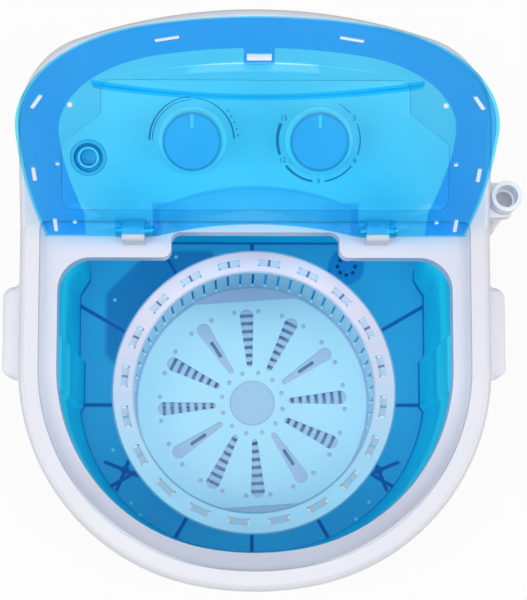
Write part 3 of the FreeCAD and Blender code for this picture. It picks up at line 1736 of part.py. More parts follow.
def make_motor_body():
    bell = s.stator_radius - s.bell_wall
    top = motor_top
    bottom = motor_bottom
    hole = s.motor_shaft_radius + s.shaft_fit
    inside = s.rotor_radius + s.rotor_gap
    stator_top = top - s.bell_height
    stator_bottom = bottom + s.bell_height
    body = revolved("motor_body", [
        (hole, bottom),
        (s.bell_nose, bottom),
        (bell, stator_bottom - s.bell_height / 2),
        (bell, stator_bottom),
        (s.stator_radius, stator_bottom),
        (s.stator_radius, stator_top),
        (bell, stator_top),
        (bell, stator_top + s.bell_height / 2),
        (s.bell_nose, top),
        (hole, top),
        (hole, top - s.bell_wall),
        (inside, top - s.bell_height),
        (inside, bottom + s.bell_height),
        (hole, bottom + s.bell_wall),
    ], s.motor_x, s.motor_y)
    finish(body)


def make_motor_rotor():
    half = s.stator_height / 2
    bottom = pulley_bottom - s.nut_gap
    top = motor_top - s.bell_wall / 2
    body = revolved("motor_rotor", [
        (zero, bottom),
        (s.motor_shaft_radius, bottom),
        (s.motor_shaft_radius, motor_middle - half),
        (s.rotor_radius, motor_middle - half),
        (s.rotor_radius, motor_middle + half),
        (s.motor_shaft_radius, motor_middle + half),
        (s.motor_shaft_radius, top),
        (zero, top),
    ], s.motor_x, s.motor_y)
    finish(body)


def make_bracket():
    body = add_body("motor_bracket")
    bottom = bracket_top - s.bracket_plate
    disc = add_sketch(body, "disc", offset=bottom)
    draw_circle(disc, s.motor_x, s.motor_y, s.stator_radius)
    pad(body, disc, s.bracket_plate)
    lobes = add_sketch(body, "lobes", offset=bottom)
    for x, y in motor_mount_places():
        draw_circle(lobes, x, y, s.bracket_lobe)
    pad(body, lobes, s.bracket_plate)
    holes = add_sketch(body, "holes", offset=bottom)
    for x, y in motor_mount_places():
        draw_circle(holes, x, y, s.screw_radius + s.slip_gap)
    draw_circle(holes, s.motor_x, s.motor_y, s.bell_nose / 2)
    pocket(body, holes, s.bracket_plate, reverse=True)
    finish(body)


def make_mounts():
    bottom = bracket_top.value + s.press_gap.value
    height = s.mount_height.value - s.press_gap.value * 2
    rings = []
    for x, y in motor_mount_places():
        base = Vector(x.value, y.value, bottom)
        outer = Part.makeCylinder(s.mount_radius.value, height, base)
        rings.append(outer.cut(Part.makeCylinder((s.screw_radius + s.slip_gap).value, height, base)))
    group = doc.addObject("Part::Feature", "rubber_mounts")
    group.Label = "rubber_mounts"
    group.Shape = Part.makeCompound(rings)
    finish(group)


make_shaft()
make_housing()
upper_bush = floor_level + s.running_gap - s.seal_length - s.bush_length + s.press_gap
bush_bore = s.shaft_radius + s.shaft_fit
make_sleeve("upper_bush", upper_bush, s.bush_length - s.press_gap * 2, s.bush_radius, bush_bore)
make_sleeve("lower_bush", housing_bottom, s.bush_length - s.press_gap, s.bush_radius, bush_bore)
make_sleeve("shaft_seal", upper_bush + s.bush_length, s.seal_length - s.press_gap, s.bush_radius,
            s.shaft_radius + s.shaft_fit)
make_pulley("drive_pulley", s.drive_pulley_radius, s.shaft_radius + s.shaft_fit, s.pulley_hub_radius,
            zero, s.axis_y, True)
make_pulley("motor_pulley", s.motor_pulley_radius, s.motor_shaft_radius + s.shaft_fit, zero,
            s.motor_x, s.motor_y, False)
make_nut()
make_belt()
make_motor_body()
make_motor_rotor()
make_bracket()
make_mounts()
bracket_seat = (bracket_top - s.bracket_plate - s.screw_gap).value
places = [(Vector(x.value, y.value, bracket_seat), Vector(0, 0, 1)) for x, y in motor_mount_places()]
screw_group("motor_screws", places, s.bracket_plate + s.mount_height + s.screw_length / 2)
flange_seat = (housing_top - s.housing_flange - s.screw_gap).value
places = [(Vector(x.value, y.value, flange_seat), Vector(0, 0, 1)) for x, y in housing_screw_places()]
screw_group("bearing_screws", places, s.housing_flange + s.tub_floor)

# Controls, water inlet and electrics

knob_bottom = s.fascia_proud + s.slip_gap
spindle_top = knob_bottom + s.knob_height - s.knob_roof
timer_top = -(s.panel_wall + s.press_gap)


def make_knob(label, x):
    body = add_body(label)
    top = knob_bottom + s.knob_height
    bore = s.spindle_radius + s.shaft_fit
    profile = add_sketch(body, "profile", "XZ_Plane")
    draw_polygon(profile, [
        (bore, knob_bottom),
        (s.knob_flange_radius, knob_bottom),
        (s.knob_flange_radius, knob_bottom + s.knob_flange),
        (s.knob_radius + s.knob_edge / 2, knob_bottom + s.knob_flange + s.knob_edge),
        (s.knob_radius, top - s.knob_edge),
        (s.knob_radius - s.knob_edge, top),
        (zero, top),
        (zero, spindle_top + s.press_gap),
        (bore, spindle_top + s.press_gap),
    ])
    turn(body, "Revolution", profile)
    pointer = add_sketch(body, "pointer", offset=top)
    half = s.pointer_width / 2
    tip = s.knob_radius - s.knob_edge
    draw_box(pointer, -half, half, tip - s.pointer_length, tip)
    pad(body, pointer, s.pointer_rise)
    place_on_panel(body, x, s.knob_y)
    finish(body)


def make_spindle(label, x):
    body = add_body(label)
    rod = add_sketch(body, "rod", offset=timer_top - s.timer_height / 2)
    draw_circle(rod, zero, zero, s.spindle_radius)
    pad(body, rod, spindle_top - timer_top + s.timer_height / 2)
    place_on_panel(body, x, s.knob_y)
    finish(body)


def make_control_unit(label, x):
    body = add_body(label)
    can = add_sketch(body, "can", offset=timer_top - s.timer_height)
    draw_circle(can, zero, zero, s.timer_radius)
    pad(body, can, s.timer_height)
    tabs = add_sketch(body, "terminals", offset=timer_top - s.timer_height)
    for index in (-1, 0, 1):
        across = s.terminal_width * 2 * index
        half = s.terminal_width / 2
        draw_box(tabs, across - half, across + half, -s.press_gap * 4, s.press_gap * 4)
    pad(body, tabs, s.terminal_length, reverse=True)
    bore = add_sketch(body, "spindle_bore", offset=timer_top)
    draw_circle(bore, zero, zero, s.spindle_radius + s.shaft_fit)
    pocket(body, bore, s.timer_height / 2 + s.press_gap)
    place_on_panel(body, x, s.knob_y)
    finish(body)


def make_inlet():
    body = add_body("water_inlet")
    bottom = s.fascia_proud - s.fascia_plate
    top = bottom + s.inlet_flange
    cup_floor = top - s.inlet_recess
    cup_bottom = cup_floor - s.inlet_wall
    profile = add_sketch(body, "profile", "XZ_Plane")
    draw_polygon(profile, [
        (s.inlet_bore_radius, -s.inlet_drop),
        (s.inlet_tube_radius, -s.inlet_drop),
        (s.inlet_tube_radius, cup_bottom),
        (s.inlet_cup_radius, cup_bottom),
        (s.inlet_cup_radius, bottom),
        (s.inlet_radius, bottom),
        (s.inlet_radius, top),
        (s.inlet_cup_radius - s.inlet_wall / 2, top),
        (s.inlet_cup_radius - s.inlet_wall / 2, cup_floor),
        (s.inlet_tube_radius, cup_floor),
        (s.inlet_tube_radius, top - s.running_gap),
        (s.inlet_bore_radius, top - s.running_gap),
    ])
    turn(body, "Revolution", profile)
    place_on_panel(body, s.inlet_x, s.inlet_y)
    finish(body)


def bent_pipe(start, corner, end, bend, outer, bore):
    """A round pipe from start to end, with one bend of a given radius at the corner."""
    arriving = (corner - start).normalize()
    leaving = (end - corner).normalize()
    half_turn = arriving.getAngle(leaving) / 2
    back = bend * math.tan(half_turn)
    first = corner - arriving * back
    last = corner + leaving * back
    inward = (leaving - arriving).normalize()
    centre = corner + inward * (bend / math.cos(half_turn))
    middle = centre - inward * bend
    edges = [
        Part.LineSegment(start, first).toShape(),
        Part.Arc(first, middle, last).toShape(),
        Part.LineSegment(last, end).toShape(),
    ]
    path = Part.Wire(edges)
    tubes = []
    for radius in (outer, bore):
        ring = Part.Wire([Part.Circle(start, arriving, radius).toShape()])
        tubes.append(path.makePipeShell([ring], True, False))
    return tubes[0].cut(tubes[1])


def make_fill_pipe():
    lean = math.radians(panel_slope.value)
    down = Vector(0, math.sin(lean), -math.cos(lean))
    mouth = Vector(s.inlet_x.value, s.inlet_y.value, panel_z(s.inlet_y).value)
    start = mouth + down * (s.inlet_drop - s.fill_lap).value
    corner = mouth + down * ((mouth.z - s.fill_z.value) / math.cos(lean))
    end = Vector(s.inlet_x.value, (s.tub_rear + s.slip_gap).value, s.fill_z.value)
    bore = (s.inlet_tube_radius + s.press_gap).value
    pipe = doc.addObject("Part::Feature", "fill_pipe")
    pipe.Label = "fill_pipe"
    pipe.Shape = bent_pipe(start, corner, end, s.fill_bend.value, s.fill_radius.value, bore)
    finish(pipe)


def make_capacitor():
    floor = base_bottom + s.base_floor + s.press_gap
    finish(revolved("capacitor_cup", [
        (zero, floor),
        (s.capacitor_radius + s.cup_wall, floor),
        (s.capacitor_radius + s.cup_wall, floor + s.cup_height),
        (s.capacitor_radius + s.press_gap, floor + s.cup_height),
        (s.capacitor_radius + s.press_gap, floor + s.cup_wall),
        (zero, floor + s.cup_wall),
    ], s.capacitor_x, s.capacitor_y))
    bottom = floor + s.cup_wall + s.press_gap
    top = bottom + s.capacitor_height
    finish(revolved("capacitor", [
        (zero, bottom),
        (s.capacitor_radius, bottom),
        (s.capacitor_radius, top - s.cup_wall),
        (s.capacitor_radius - s.cup_wall, top),
        (zero, top),
    ], s.capacitor_x, s.capacitor_y))


def make_cord_gland():
    body = add_body("cord_gland")
    seat = rear_wall_y(s.gland_x + s.gland_flange, zero) + s.slip_gap
    inner = seat - s.gland_depth
    profile = add_sketch(body, "profile", "XZ_Plane")
    draw_polygon(profile, [
        (s.gland_bore, inner),
        (s.gland_radius, inner),
        (s.gland_radius, seat),
        (s.gland_flange, seat),
        (s.gland_flange, seat + s.gland_lip),
        (s.gland_bore + s.gland_lip, seat + s.gland_lip),
        (s.gland_bore + s.gland_lip, seat + s.gland_lip * 3),
        (s.gland_bore, seat + s.gland_lip * 3),
    ])
    turn(body, "Revolution", profile)
    rearward = FreeCAD.Rotation(Vector(1, 0, 0), -90)
    body.Placement = FreeCAD.Placement(Vector(s.gland_x.value, 0, s.gland_z.value), rearward)
    finish(body)


make_knob("selector_knob", -s.knob_x)
make_knob("timer_knob", s.knob_x)
make_spindle("selector_spindle", -s.knob_x)
make_spindle("timer_spindle", s.knob_x)
make_control_unit("selector_switch", -s.knob_x)
make_control_unit("timer_unit", s.knob_x)
make_inlet()
make_fill_pipe()
make_capacitor()
make_cord_gland()

# Drain

hose_x = half_width + s.hose_stand_off
spigot_radius = s.hose_bore_radius - s.press_gap
elbow_top = s.drain_exit_z + s.elbow_bend + s.spigot_length
hose_bottom = s.drain_exit_z + s.elbow_bend + s.running_gap * 3
cuff_bottom = s.rim_height - s.cuff_length
hose_top = cuff_bottom + s.cuff_grip
pipe_top = floor_under - s.strainer_neck


def make_strainer():
    top = floor_level + s.strainer_plate
    roof = floor_level + s.strainer_plate / 2
    body = revolved("drain_strainer", [
        (zero, roof),
        (s.strainer_neck_radius - s.drain_wall, roof),
        (s.strainer_neck_radius - s.drain_wall, pipe_top + s.drain_wall * 2),
        (spigot_radius - s.drain_wall, pipe_top + s.drain_wall),
        (spigot_radius - s.drain_wall, pipe_top - s.spigot_length),
        (spigot_radius, pipe_top - s.spigot_length),
        (spigot_radius, pipe_top + s.press_gap),
        (s.strainer_neck_radius, pipe_top + s.drain_wall),
        (s.strainer_neck_radius, floor_level + s.press_gap),
        (s.strainer_radius, floor_level + s.press_gap),
        (s.strainer_radius, top),
        (zero, top),
    ], s.drain_x, s.drain_y)
    holes = add_sketch(body, "holes", offset=top)
    draw_circle(holes, s.strainer_radius / 2, zero, s.strainer_hole)
    polar(body, [pocket(body, holes, s.strainer_plate)], 8)
    finish(body)


def make_drain_pipe():
    start = Vector(s.drain_x.value, s.drain_y.value, (pipe_top - s.press_gap).value)
    corner = Vector(s.drain_x.value, s.drain_y.value, s.drain_exit_z.value)
    end = Vector((half_width - s.drain_inset).value, s.drain_y.value, s.drain_exit_z.value)
    pipe = doc.addObject("Part::Feature", "drain_pipe")
    pipe.Label = "drain_pipe"
    bend = s.drain_bend.value
    pipe.Shape = bent_pipe(start, corner, end, bend, s.drain_radius.value, s.hose_bore_radius.value)
    finish(pipe)


def make_elbow():
    y = s.drain_y.value
    level = s.drain_exit_z.value
    start = Vector((half_width - s.drain_inset - s.spigot_length).value, y, level)
    corner = Vector(hose_x.value, y, level)
    end = Vector(hose_x.value, y, elbow_top.value)
    bore = (spigot_radius - s.drain_wall).value
    pipe = bent_pipe(start, corner, end, s.elbow_bend.value, spigot_radius.value, bore)
    seat = Vector((half_width + s.slip_gap).value, y, level)
    outward = Vector(1, 0, 0)
    collar = Part.makeCylinder((s.drain_radius + s.drain_wall).value, s.drain_wall.value, seat, outward)
    hole = Part.makeCylinder((spigot_radius - s.drain_wall / 2).value, s.drain_wall.value, seat, outward)
    elbow = doc.addObject("Part::Feature", "drain_elbow")
    elbow.Label = "drain_elbow"
    elbow.Shape = pipe.fuse(collar.cut(hole)).removeSplitter()
    finish(elbow)


def hose_ring(z, radius):
    """A circle round the hose's run, which swings from the outlet to the top clip as it climbs."""
    span = s.bend_top.value - s.bend_bottom.value
    part = min(max((z - s.bend_bottom.value) / span, 0), 1)
    shift = s.hose_top_y.value - s.drain_y.value
    y = s.drain_y.value + shift * part * part * (3 - 2 * part)
    lean = shift * 6 * part * (1 - part) / span
    across = Vector(1, 0, 0)
    circle = Part.Circle(Vector(hose_x.value, y, z), Vector(0, lean, 1), radius)
    circle.XAxis = across
    return Part.Wire([circle.toShape()])


def make_hose():
    plain = s.hose_radius.value * 2
    bottom = hose_bottom.value
    top = hose_top.value
    count = round((top - bottom - plain * 2) / s.hose_pitch.value)
    pitch = (top - bottom - plain * 2) / count
    crest = s.hose_radius.value
    valley = crest - s.hose_rib_depth.value
    rings = [hose_ring(bottom, valley)]
    bore = [hose_ring(bottom, s.hose_bore_radius.value)]
    for index in range(count):
        low = bottom + plain + pitch * index
        for share, radius in ((0, valley), (0.2, crest), (0.6, crest), (0.8, valley)):
            rings.append(hose_ring(low + pitch * share, radius))
        if index % 3 == 0:
            bore.append(hose_ring(low, s.hose_bore_radius.value))
    rings.append(hose_ring(top, valley))
    bore.append(hose_ring(top - plain, s.hose_bore_radius.value))
    bore.append(hose_ring(top, s.hose_bore_radius.value))
    hose = doc.addObject("Part::Feature", "drain_hose")
    hose.Label = "drain_hose"
    hose.Shape = Part.makeLoft(rings, True, True).cut(Part.makeLoft(bore, True, True))
    finish(hose)


def make_cuff():
    body = add_body("hose_cuff")
    grip = s.hose_radius - s.hose_rib_depth + s.press_gap
    lip = s.cuff_radius + s.cuff_lip
    profile = add_sketch(body, "profile", "XZ_Plane")
    draw_polygon(profile, [
        (grip, cuff_bottom),
        (s.cuff_radius, cuff_bottom),
        (s.cuff_radius, s.rim_height - s.cuff_lip * 4),
        (lip, s.rim_height - s.cuff_lip * 3),
        (lip, s.rim_height - s.cuff_lip),
        (s.cuff_radius, s.rim_height),
        (grip + s.cuff_step, s.rim_height),
        (grip + s.cuff_step, hose_top),
        (grip, hose_top),
    ])
    turn(body, "Revolution", profile)
    place(body, hose_x, s.hose_top_y)
    finish(body)


def make_clip(label, z, held):
    """A snap clip on the side wall round the hose or its cuff, open to the outside."""
    centre = Vector(hose_x.value, s.hose_top_y.value, z.value)
    wall = (half_width + s.press_gap).value
    inner = held.value + s.slip_gap.value
    outer = inner + s.clip_wall.value
    height = s.clip_height.value
    ring = Part.makeCylinder(outer, height, centre)
    side = outer * 2
    foot_corner = Vector(wall, centre.y - outer, centre.z)
    ring = ring.fuse(Part.makeBox(centre.x - wall, side, height, foot_corner))
    ring = ring.cut(Part.makeCylinder(inner, height, centre))
    mouth = Vector(centre.x + inner * s.clip_mouth.value, centre.y - side, centre.z)
    ring = ring.cut(Part.makeBox(side, side * 2, height, mouth))
    behind = Vector(wall - side, centre.y - side, centre.z)
    ring = ring.cut(Part.makeBox(side, side * 2, height, behind))
    clip = doc.addObject("Part::Feature", label)
    clip.Label = label
    clip.Shape = ring.removeSplitter()
    finish(clip)


make_strainer()
make_drain_pipe()
make_elbow()
make_hose()
make_cuff()
make_clip("hose_clip_upper", s.rim_height - s.clip_upper_drop, s.cuff_radius)
make_clip("hose_clip_lower", s.rim_height - s.clip_lower_drop, s.hose_radius)

# Checks before anything is written

for obj in doc.Objects:
    if "Invalid" in obj.State or "Error" in obj.State:
        raise RuntimeError(f"{obj.Name} failed: {obj.State}")
os.makedirs("parts", exist_ok=True)
for obj in parts:
    if obj.Shape.isNull() or not obj.Shape.isValid() or not obj.Shape.Solids:
        raise RuntimeError(f"{obj.Label} has no valid solid")
for obj in parts:
    obj.Shape.exportStep(f"parts/{obj.Label}.step")
    box = obj.Shape.BoundBox
    size_text = f"{box.XLength:.1f} x {box.YLength:.1f} x {box.ZLength:.1f}"
    print(f"{obj.Label}: {len(obj.Shape.Solids)} solid, {obj.Shape.Volume / 1000:.1f} cm3, {size_text} mm")
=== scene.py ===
import bpy
import bmesh
import json
import math
from mathutils import Matrix, Vector
from mathutils.geometry import delaunay_2d_cdt, intersect_point_line


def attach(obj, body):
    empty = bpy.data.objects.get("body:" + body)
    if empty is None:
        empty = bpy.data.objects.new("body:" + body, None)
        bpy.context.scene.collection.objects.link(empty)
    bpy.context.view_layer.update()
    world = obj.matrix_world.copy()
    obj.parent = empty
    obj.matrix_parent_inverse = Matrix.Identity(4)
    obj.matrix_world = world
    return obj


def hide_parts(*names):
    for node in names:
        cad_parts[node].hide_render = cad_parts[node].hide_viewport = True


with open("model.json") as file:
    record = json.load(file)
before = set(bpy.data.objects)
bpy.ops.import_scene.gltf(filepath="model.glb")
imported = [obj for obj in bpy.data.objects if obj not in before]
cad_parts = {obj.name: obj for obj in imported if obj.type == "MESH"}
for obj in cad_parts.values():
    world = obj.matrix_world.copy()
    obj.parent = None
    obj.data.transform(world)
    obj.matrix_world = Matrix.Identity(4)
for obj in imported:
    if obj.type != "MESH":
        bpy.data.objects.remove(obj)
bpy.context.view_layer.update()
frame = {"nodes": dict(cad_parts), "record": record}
nodes = frame["nodes"]
print("frame loaded:", len(nodes), "nodes")

# camera, from the photograph's frame
photo = {"width": 527, "height": 600, "focal": 1868.0, "nadir": (234.0, 520.0), "eye": (-0.01583, -0.1630, 1.880),
         "sensor": 36.0, "clipEnd": 50.0}


def addCamera():
    middle = (photo["width"] / 2, photo["height"] / 2)
    down = Vector(((photo["nadir"][0] - middle[0]) / photo["focal"],
                   -(photo["nadir"][1] - middle[1]) / photo["focal"], -1.0)).normalized()
    up = -down
    across = Vector((1, 0, 0))
    across = (across - up * across.dot(up)).normalized()
    deep = up.cross(across)
    data = bpy.data.cameras.new("photoCamera")
    data.sensor_width = photo["sensor"]
    data.sensor_fit = "AUTO"
    data.lens = photo["sensor"] * photo["focal"] / photo["height"]
    data.clip_end = photo["clipEnd"]
    camera = bpy.data.objects.new("photoCamera", data)
    turn = Matrix((across, deep, up)).to_4x4()
    camera.matrix_world = Matrix.Translation(Vector(photo["eye"])) @ turn
    bpy.context.scene.collection.objects.link(camera)
    bpy.context.scene.camera = camera


addCamera()
bpy.context.scene.view_settings.view_transform = "Standard"
print("camera set")


# shader helpers
def calc(tree, operation, *values):
    node = tree.nodes.new("ShaderNodeMath")
    node.operation = operation
    for index, value in enumerate(values):
        if isinstance(value, (int, float)):
            node.inputs[index].default_value = value
        else:
            tree.links.new(value, node.inputs[index])
    return node.outputs[0]


def times(tree, first, second):
    return calc(tree, "MULTIPLY", first, second)


def plus(tree, first, second):
    return calc(tree, "ADD", first, second)


def minus(tree, first, second):
    return calc(tree, "SUBTRACT", first, second)


def absolute(tree, value):
    return calc(tree, "ABSOLUTE", value)


def length(tree, x, y):
    return calc(tree, "SQRT", plus(tree, times(tree, x, x), times(tree, y, y)))


def spread(tree, value, low, high, toLow=0.0, toHigh=1.0):
    node = tree.nodes.new("ShaderNodeMapRange")
    node.interpolation_type = "SMOOTHSTEP"
    tree.links.new(value, node.inputs["Value"])
    for name, number in (("From Min", low), ("From Max", high), ("To Min", toLow), ("To Max", toHigh)):
        if isinstance(number, (int, float)):
            node.inputs[name].default_value = number
        else:
            tree.links.new(number, node.inputs[name])
    return node.outputs["Result"]


def above(tree, value, level, soft):
    return spread(tree, value, level - soft, level + soft)


def below(tree, value, level, soft):
    return spread(tree, value, level - soft, level + soft, 1.0, 0.0)


def within(tree, value, half, edge):
    # full inside a half width and none outside, fading between two shares of it
    return spread(tree, value, half * edge[0], half * edge[1], 1.0, 0.0)


def bandMask(tree, value, low, high, soft):
    return times(tree, above(tree, value, low, soft), below(tree, value, high, soft))


def blendColor(tree, share, first, second):
    node = tree.nodes.new("ShaderNodeMix")
    node.data_type = "RGBA"
    for socket, value in ((node.inputs["Factor"], share), (node.inputs[6], first), (node.inputs[7], second)):
        if isinstance(value, tuple):
            socket.default_value = (*value, 1)
        else:
            tree.links.new(value, socket)
    return node.outputs[2]


def mixInto(tree, share, first, second, out):
    mix = tree.nodes.new("ShaderNodeMixShader")
    for socket, source in zip(mix.inputs, (share, first.outputs[0], second.outputs[0])):
        tree.links.new(source, socket)
    tree.links.new(mix.outputs[0], out.inputs["Surface"])


def seenStraight(tree):
    # what is looked at, also through clear plastic
    path = tree.nodes.new("ShaderNodeLightPath")
    return calc(tree, "MAXIMUM", path.outputs["Is Camera Ray"], path.outputs["Is Transmission Ray"])


# light and floor
studio = {"worldStrength": 0.22, "white": (1.0, 1.0, 1.0), "aim": (0.0, -0.05, 0.40), "floorShadow": 0.10,
          "floorColor": (0.86, 0.86, 0.87), "floorSize": 6.0, "floorCells": 8, "floorDrop": 0.0005,
          "lamps": [("keyLamp", (-0.05, 0.0, 2.6), 19.0, 1.1), ("leftLamp", (-1.35, -0.35, 1.45), 13.0, 1.0),
                    ("rightLamp", (1.35, -0.35, 1.45), 13.0, 1.0), ("frontLamp", (0.15, -1.8, 1.0), 4.0, 1.0),
                    ("backLamp", (0.0, 1.9, 1.1), 5.0, 1.0)],
          "bounces": (32, 24, 16)}


def addLamp(name, place, power, width):
    data = bpy.data.lights.new(name, "AREA")
    data.energy = power
    data.size = width
    lamp = bpy.data.objects.new(name, data)
    lamp.location = place
    lamp.rotation_euler = (Vector(studio["aim"]) - Vector(place)).to_track_quat("-Z", "Y").to_euler()
    bpy.context.scene.collection.objects.link(lamp)
    return lamp


def addBackground(tree, strength):
    node = tree.nodes.new("ShaderNodeBackground")
    node.inputs["Color"].default_value = (*studio["white"], 1)
    node.inputs["Strength"].default_value = strength
    return node


def lightStudio():
    world = bpy.data.worlds.new("studioWorld")
    world.use_nodes = True
    tree = world.node_tree
    tree.nodes.clear()
    soft = addBackground(tree, studio["worldStrength"])
    plain = addBackground(tree, 1.0)
    mixInto(tree, seenStraight(tree), soft, plain, tree.nodes.new("ShaderNodeOutputWorld"))
    bpy.context.scene.world = world
    for row in studio["lamps"]:
        addLamp(*row)
    cycles = bpy.context.scene.cycles
    cycles.max_bounces, cycles.diffuse_bounces, cycles.transmission_bounces = studio["bounces"]


def layFloor():
    mesh = bpy.data.meshes.new("studioFloor")
    form = bmesh.new()
    cells = studio["floorCells"]
    bmesh.ops.create_grid(form, x_segments=cells, y_segments=cells, size=studio["floorSize"])
    form.to_mesh(mesh)
    form.free()
    floor = bpy.data.objects.new("studioFloor", mesh)
    bpy.context.scene.collection.objects.link(floor)
    floor.location.z = -studio["floorDrop"]
    finish = bpy.data.materials.new("paleFloor")
    finish.use_nodes = True
    tree = finish.node_tree
    tree.nodes.clear()
    matt = tree.nodes.new("ShaderNodeBsdfDiffuse")
    matt.inputs["Color"].default_value = (*studio["floorColor"], 1)
    glow = tree.nodes.new("ShaderNodeEmission")
    glow.inputs["Color"].default_value = (*studio["white"], 1)
    share = times(tree, seenStraight(tree), 1 - studio["floorShadow"])
    mixInto(tree, share, matt, glow, tree.nodes.new("ShaderNodeOutputMaterial"))
    mesh.materials.append(finish)


# lamps for the inside alone, for the light that comes through the milky walls
insideLights = [
    {"name": "tub", "power": 2.7, "size": 0.6, "lit": ["tub"], "shade": ["basket_ring", "spin_basket"],
     "places": [(-0.9, -0.06, 0.95), (0.9, -0.06, 0.95), (0.0, -1.0, 0.95), (0.0, 0.9, 0.95)]},
    {"name": "drum", "power": 3.7, "size": 0.6, "lit": ["spin_basket", "press_plate"], "shade": ["basket_ring"],
     "places": [(-0.55, -0.06, 1.6), (0.55, -0.06, 1.6)]}]


def gather(name, members):
    group = bpy.data.collections.new(name)
    for member in members:
        group.objects.link(nodes[member])
    return group


def lightInside():
    for light in insideLights:
        lit = gather(light["name"] + "Lit", light["lit"])
        shade = gather(light["name"] + "Shade", light["shade"])
        for place in light["places"]:
            lamp = addLamp(light["name"] + "Lamp", place, light["power"], light["size"])
            lamp.light_linking.receiver_collection = lit
            lamp.light_linking.blocker_collection = shade


lightStudio()
lightInside()
layFloor()
print("studio lit")

# shared surface effects
mould = {"patchDetail": 3.0, "patchFrom": 0.35, "patchTo": 0.65, "polishScale": 4.0, "polishDetail": 4.0,
         "grainDetail": 2.0, "bumpDepth": 0.0002}


def objectPlace(tree):
    return tree.nodes.new("ShaderNodeTexCoord").outputs["Object"]


def noiseAt(tree, scale, detail):
    node = tree.nodes.new("ShaderNodeTexNoise")
    tree.links.new(objectPlace(tree), node.inputs["Vector"])
    tree.links.new(scale, node.inputs["Scale"])
    node.inputs["Detail"].default_value = detail
    return node.outputs["Fac"]


def openGroup(name, inputs, outputs):
    group = bpy.data.node_groups.new(name, "ShaderNodeTree")
    for label, kind, value in inputs:
        socket = group.interface.new_socket(name=label, in_out="INPUT", socket_type=kind)
        socket.default_value = value
    for label, kind in outputs:
        group.interface.new_socket(name=label, in_out="OUTPUT", socket_type=kind)
    return group, group.nodes.new("NodeGroupInput").outputs, group.nodes.new("NodeGroupOutput").inputs


def makeMouldedGroup():
    # soft tone patches, moulded grain and an uneven polish
    group, start, end = openGroup("mouldedSurface", [
        ("Color", "NodeSocketColor", (0.8, 0.8, 0.8, 1)),
        ("Second Color", "NodeSocketColor", (0.75, 0.75, 0.75, 1)),
        ("Patch Scale", "NodeSocketFloat", 9.0),
        ("Grain Scale", "NodeSocketFloat", 900.0),
        ("Roughness", "NodeSocketFloat", 0.4),
        ("Polish Spread", "NodeSocketFloat", 0.1),
    ], [("Color", "NodeSocketColor"), ("Roughness", "NodeSocketFloat"), ("Height", "NodeSocketFloat")])
    patch = noiseAt(group, start["Patch Scale"], mould["patchDetail"])
    share = spread(group, patch, mould["patchFrom"], mould["patchTo"])
    group.links.new(blendColor(group, share, start["Color"], start["Second Color"]), end["Color"])
    polish = noiseAt(group, times(group, start["Patch Scale"], mould["polishScale"]), mould["polishDetail"])
    swing = times(group, minus(group, polish, 0.5), start["Polish Spread"])
    group.links.new(plus(group, start["Roughness"], swing), end["Roughness"])
    group.links.new(noiseAt(group, start["Grain Scale"], mould["grainDetail"]), end["Height"])
    return group


def makeLevelGroup():
    # a painted shade below a level, as in a recess or on a floor under a plate
    group, start, end = openGroup("levelTone", [
        ("Color", "NodeSocketColor", (0.8, 0.8, 0.8, 1)),
        ("Shade Color", "NodeSocketColor", (0.5, 0.5, 0.5, 1)),
        ("Level", "NodeSocketFloat", 0.0),
        ("Softness", "NodeSocketFloat", 0.001),
    ], [("Color", "NodeSocketColor")])
    parts = group.nodes.new("ShaderNodeSeparateXYZ")
    group.links.new(objectPlace(group), parts.inputs[0])
    low = minus(group, start["Level"], start["Softness"])
    high = plus(group, start["Level"], start["Softness"])
    share = spread(group, parts.outputs[2], low, high)
    group.links.new(blendColor(group, share, start["Shade Color"], start["Color"]), end["Color"])
    return group


mouldedSurface = makeMouldedGroup()
levelTone = makeLevelGroup()
finishes = {}


def letLight(tree, shader, look):
    # a share of the lamps' light goes through, as in clear or milky plastic
    path = tree.nodes.new("ShaderNodeLightPath")
    film = tree.nodes.new("ShaderNodeBsdfTransparent")
    film.inputs["Color"].default_value = (*look["shade"], 1)
    lets = calc(tree, "MAXIMUM", path.outputs["Is Shadow Ray"], path.outputs["Is Diffuse Ray"])
    if "lets" in look:
        lets = times(tree, lets, look["lets"])
    mixInto(tree, lets, shader, film, tree.nodes["Material Output"])


usualLook = {"polish": 0.12, "metal": 0.0, "ior": 1.45, "shine": 0.5, "coat": 0.0, "coatRough": 0.1, "clear": 0.0}


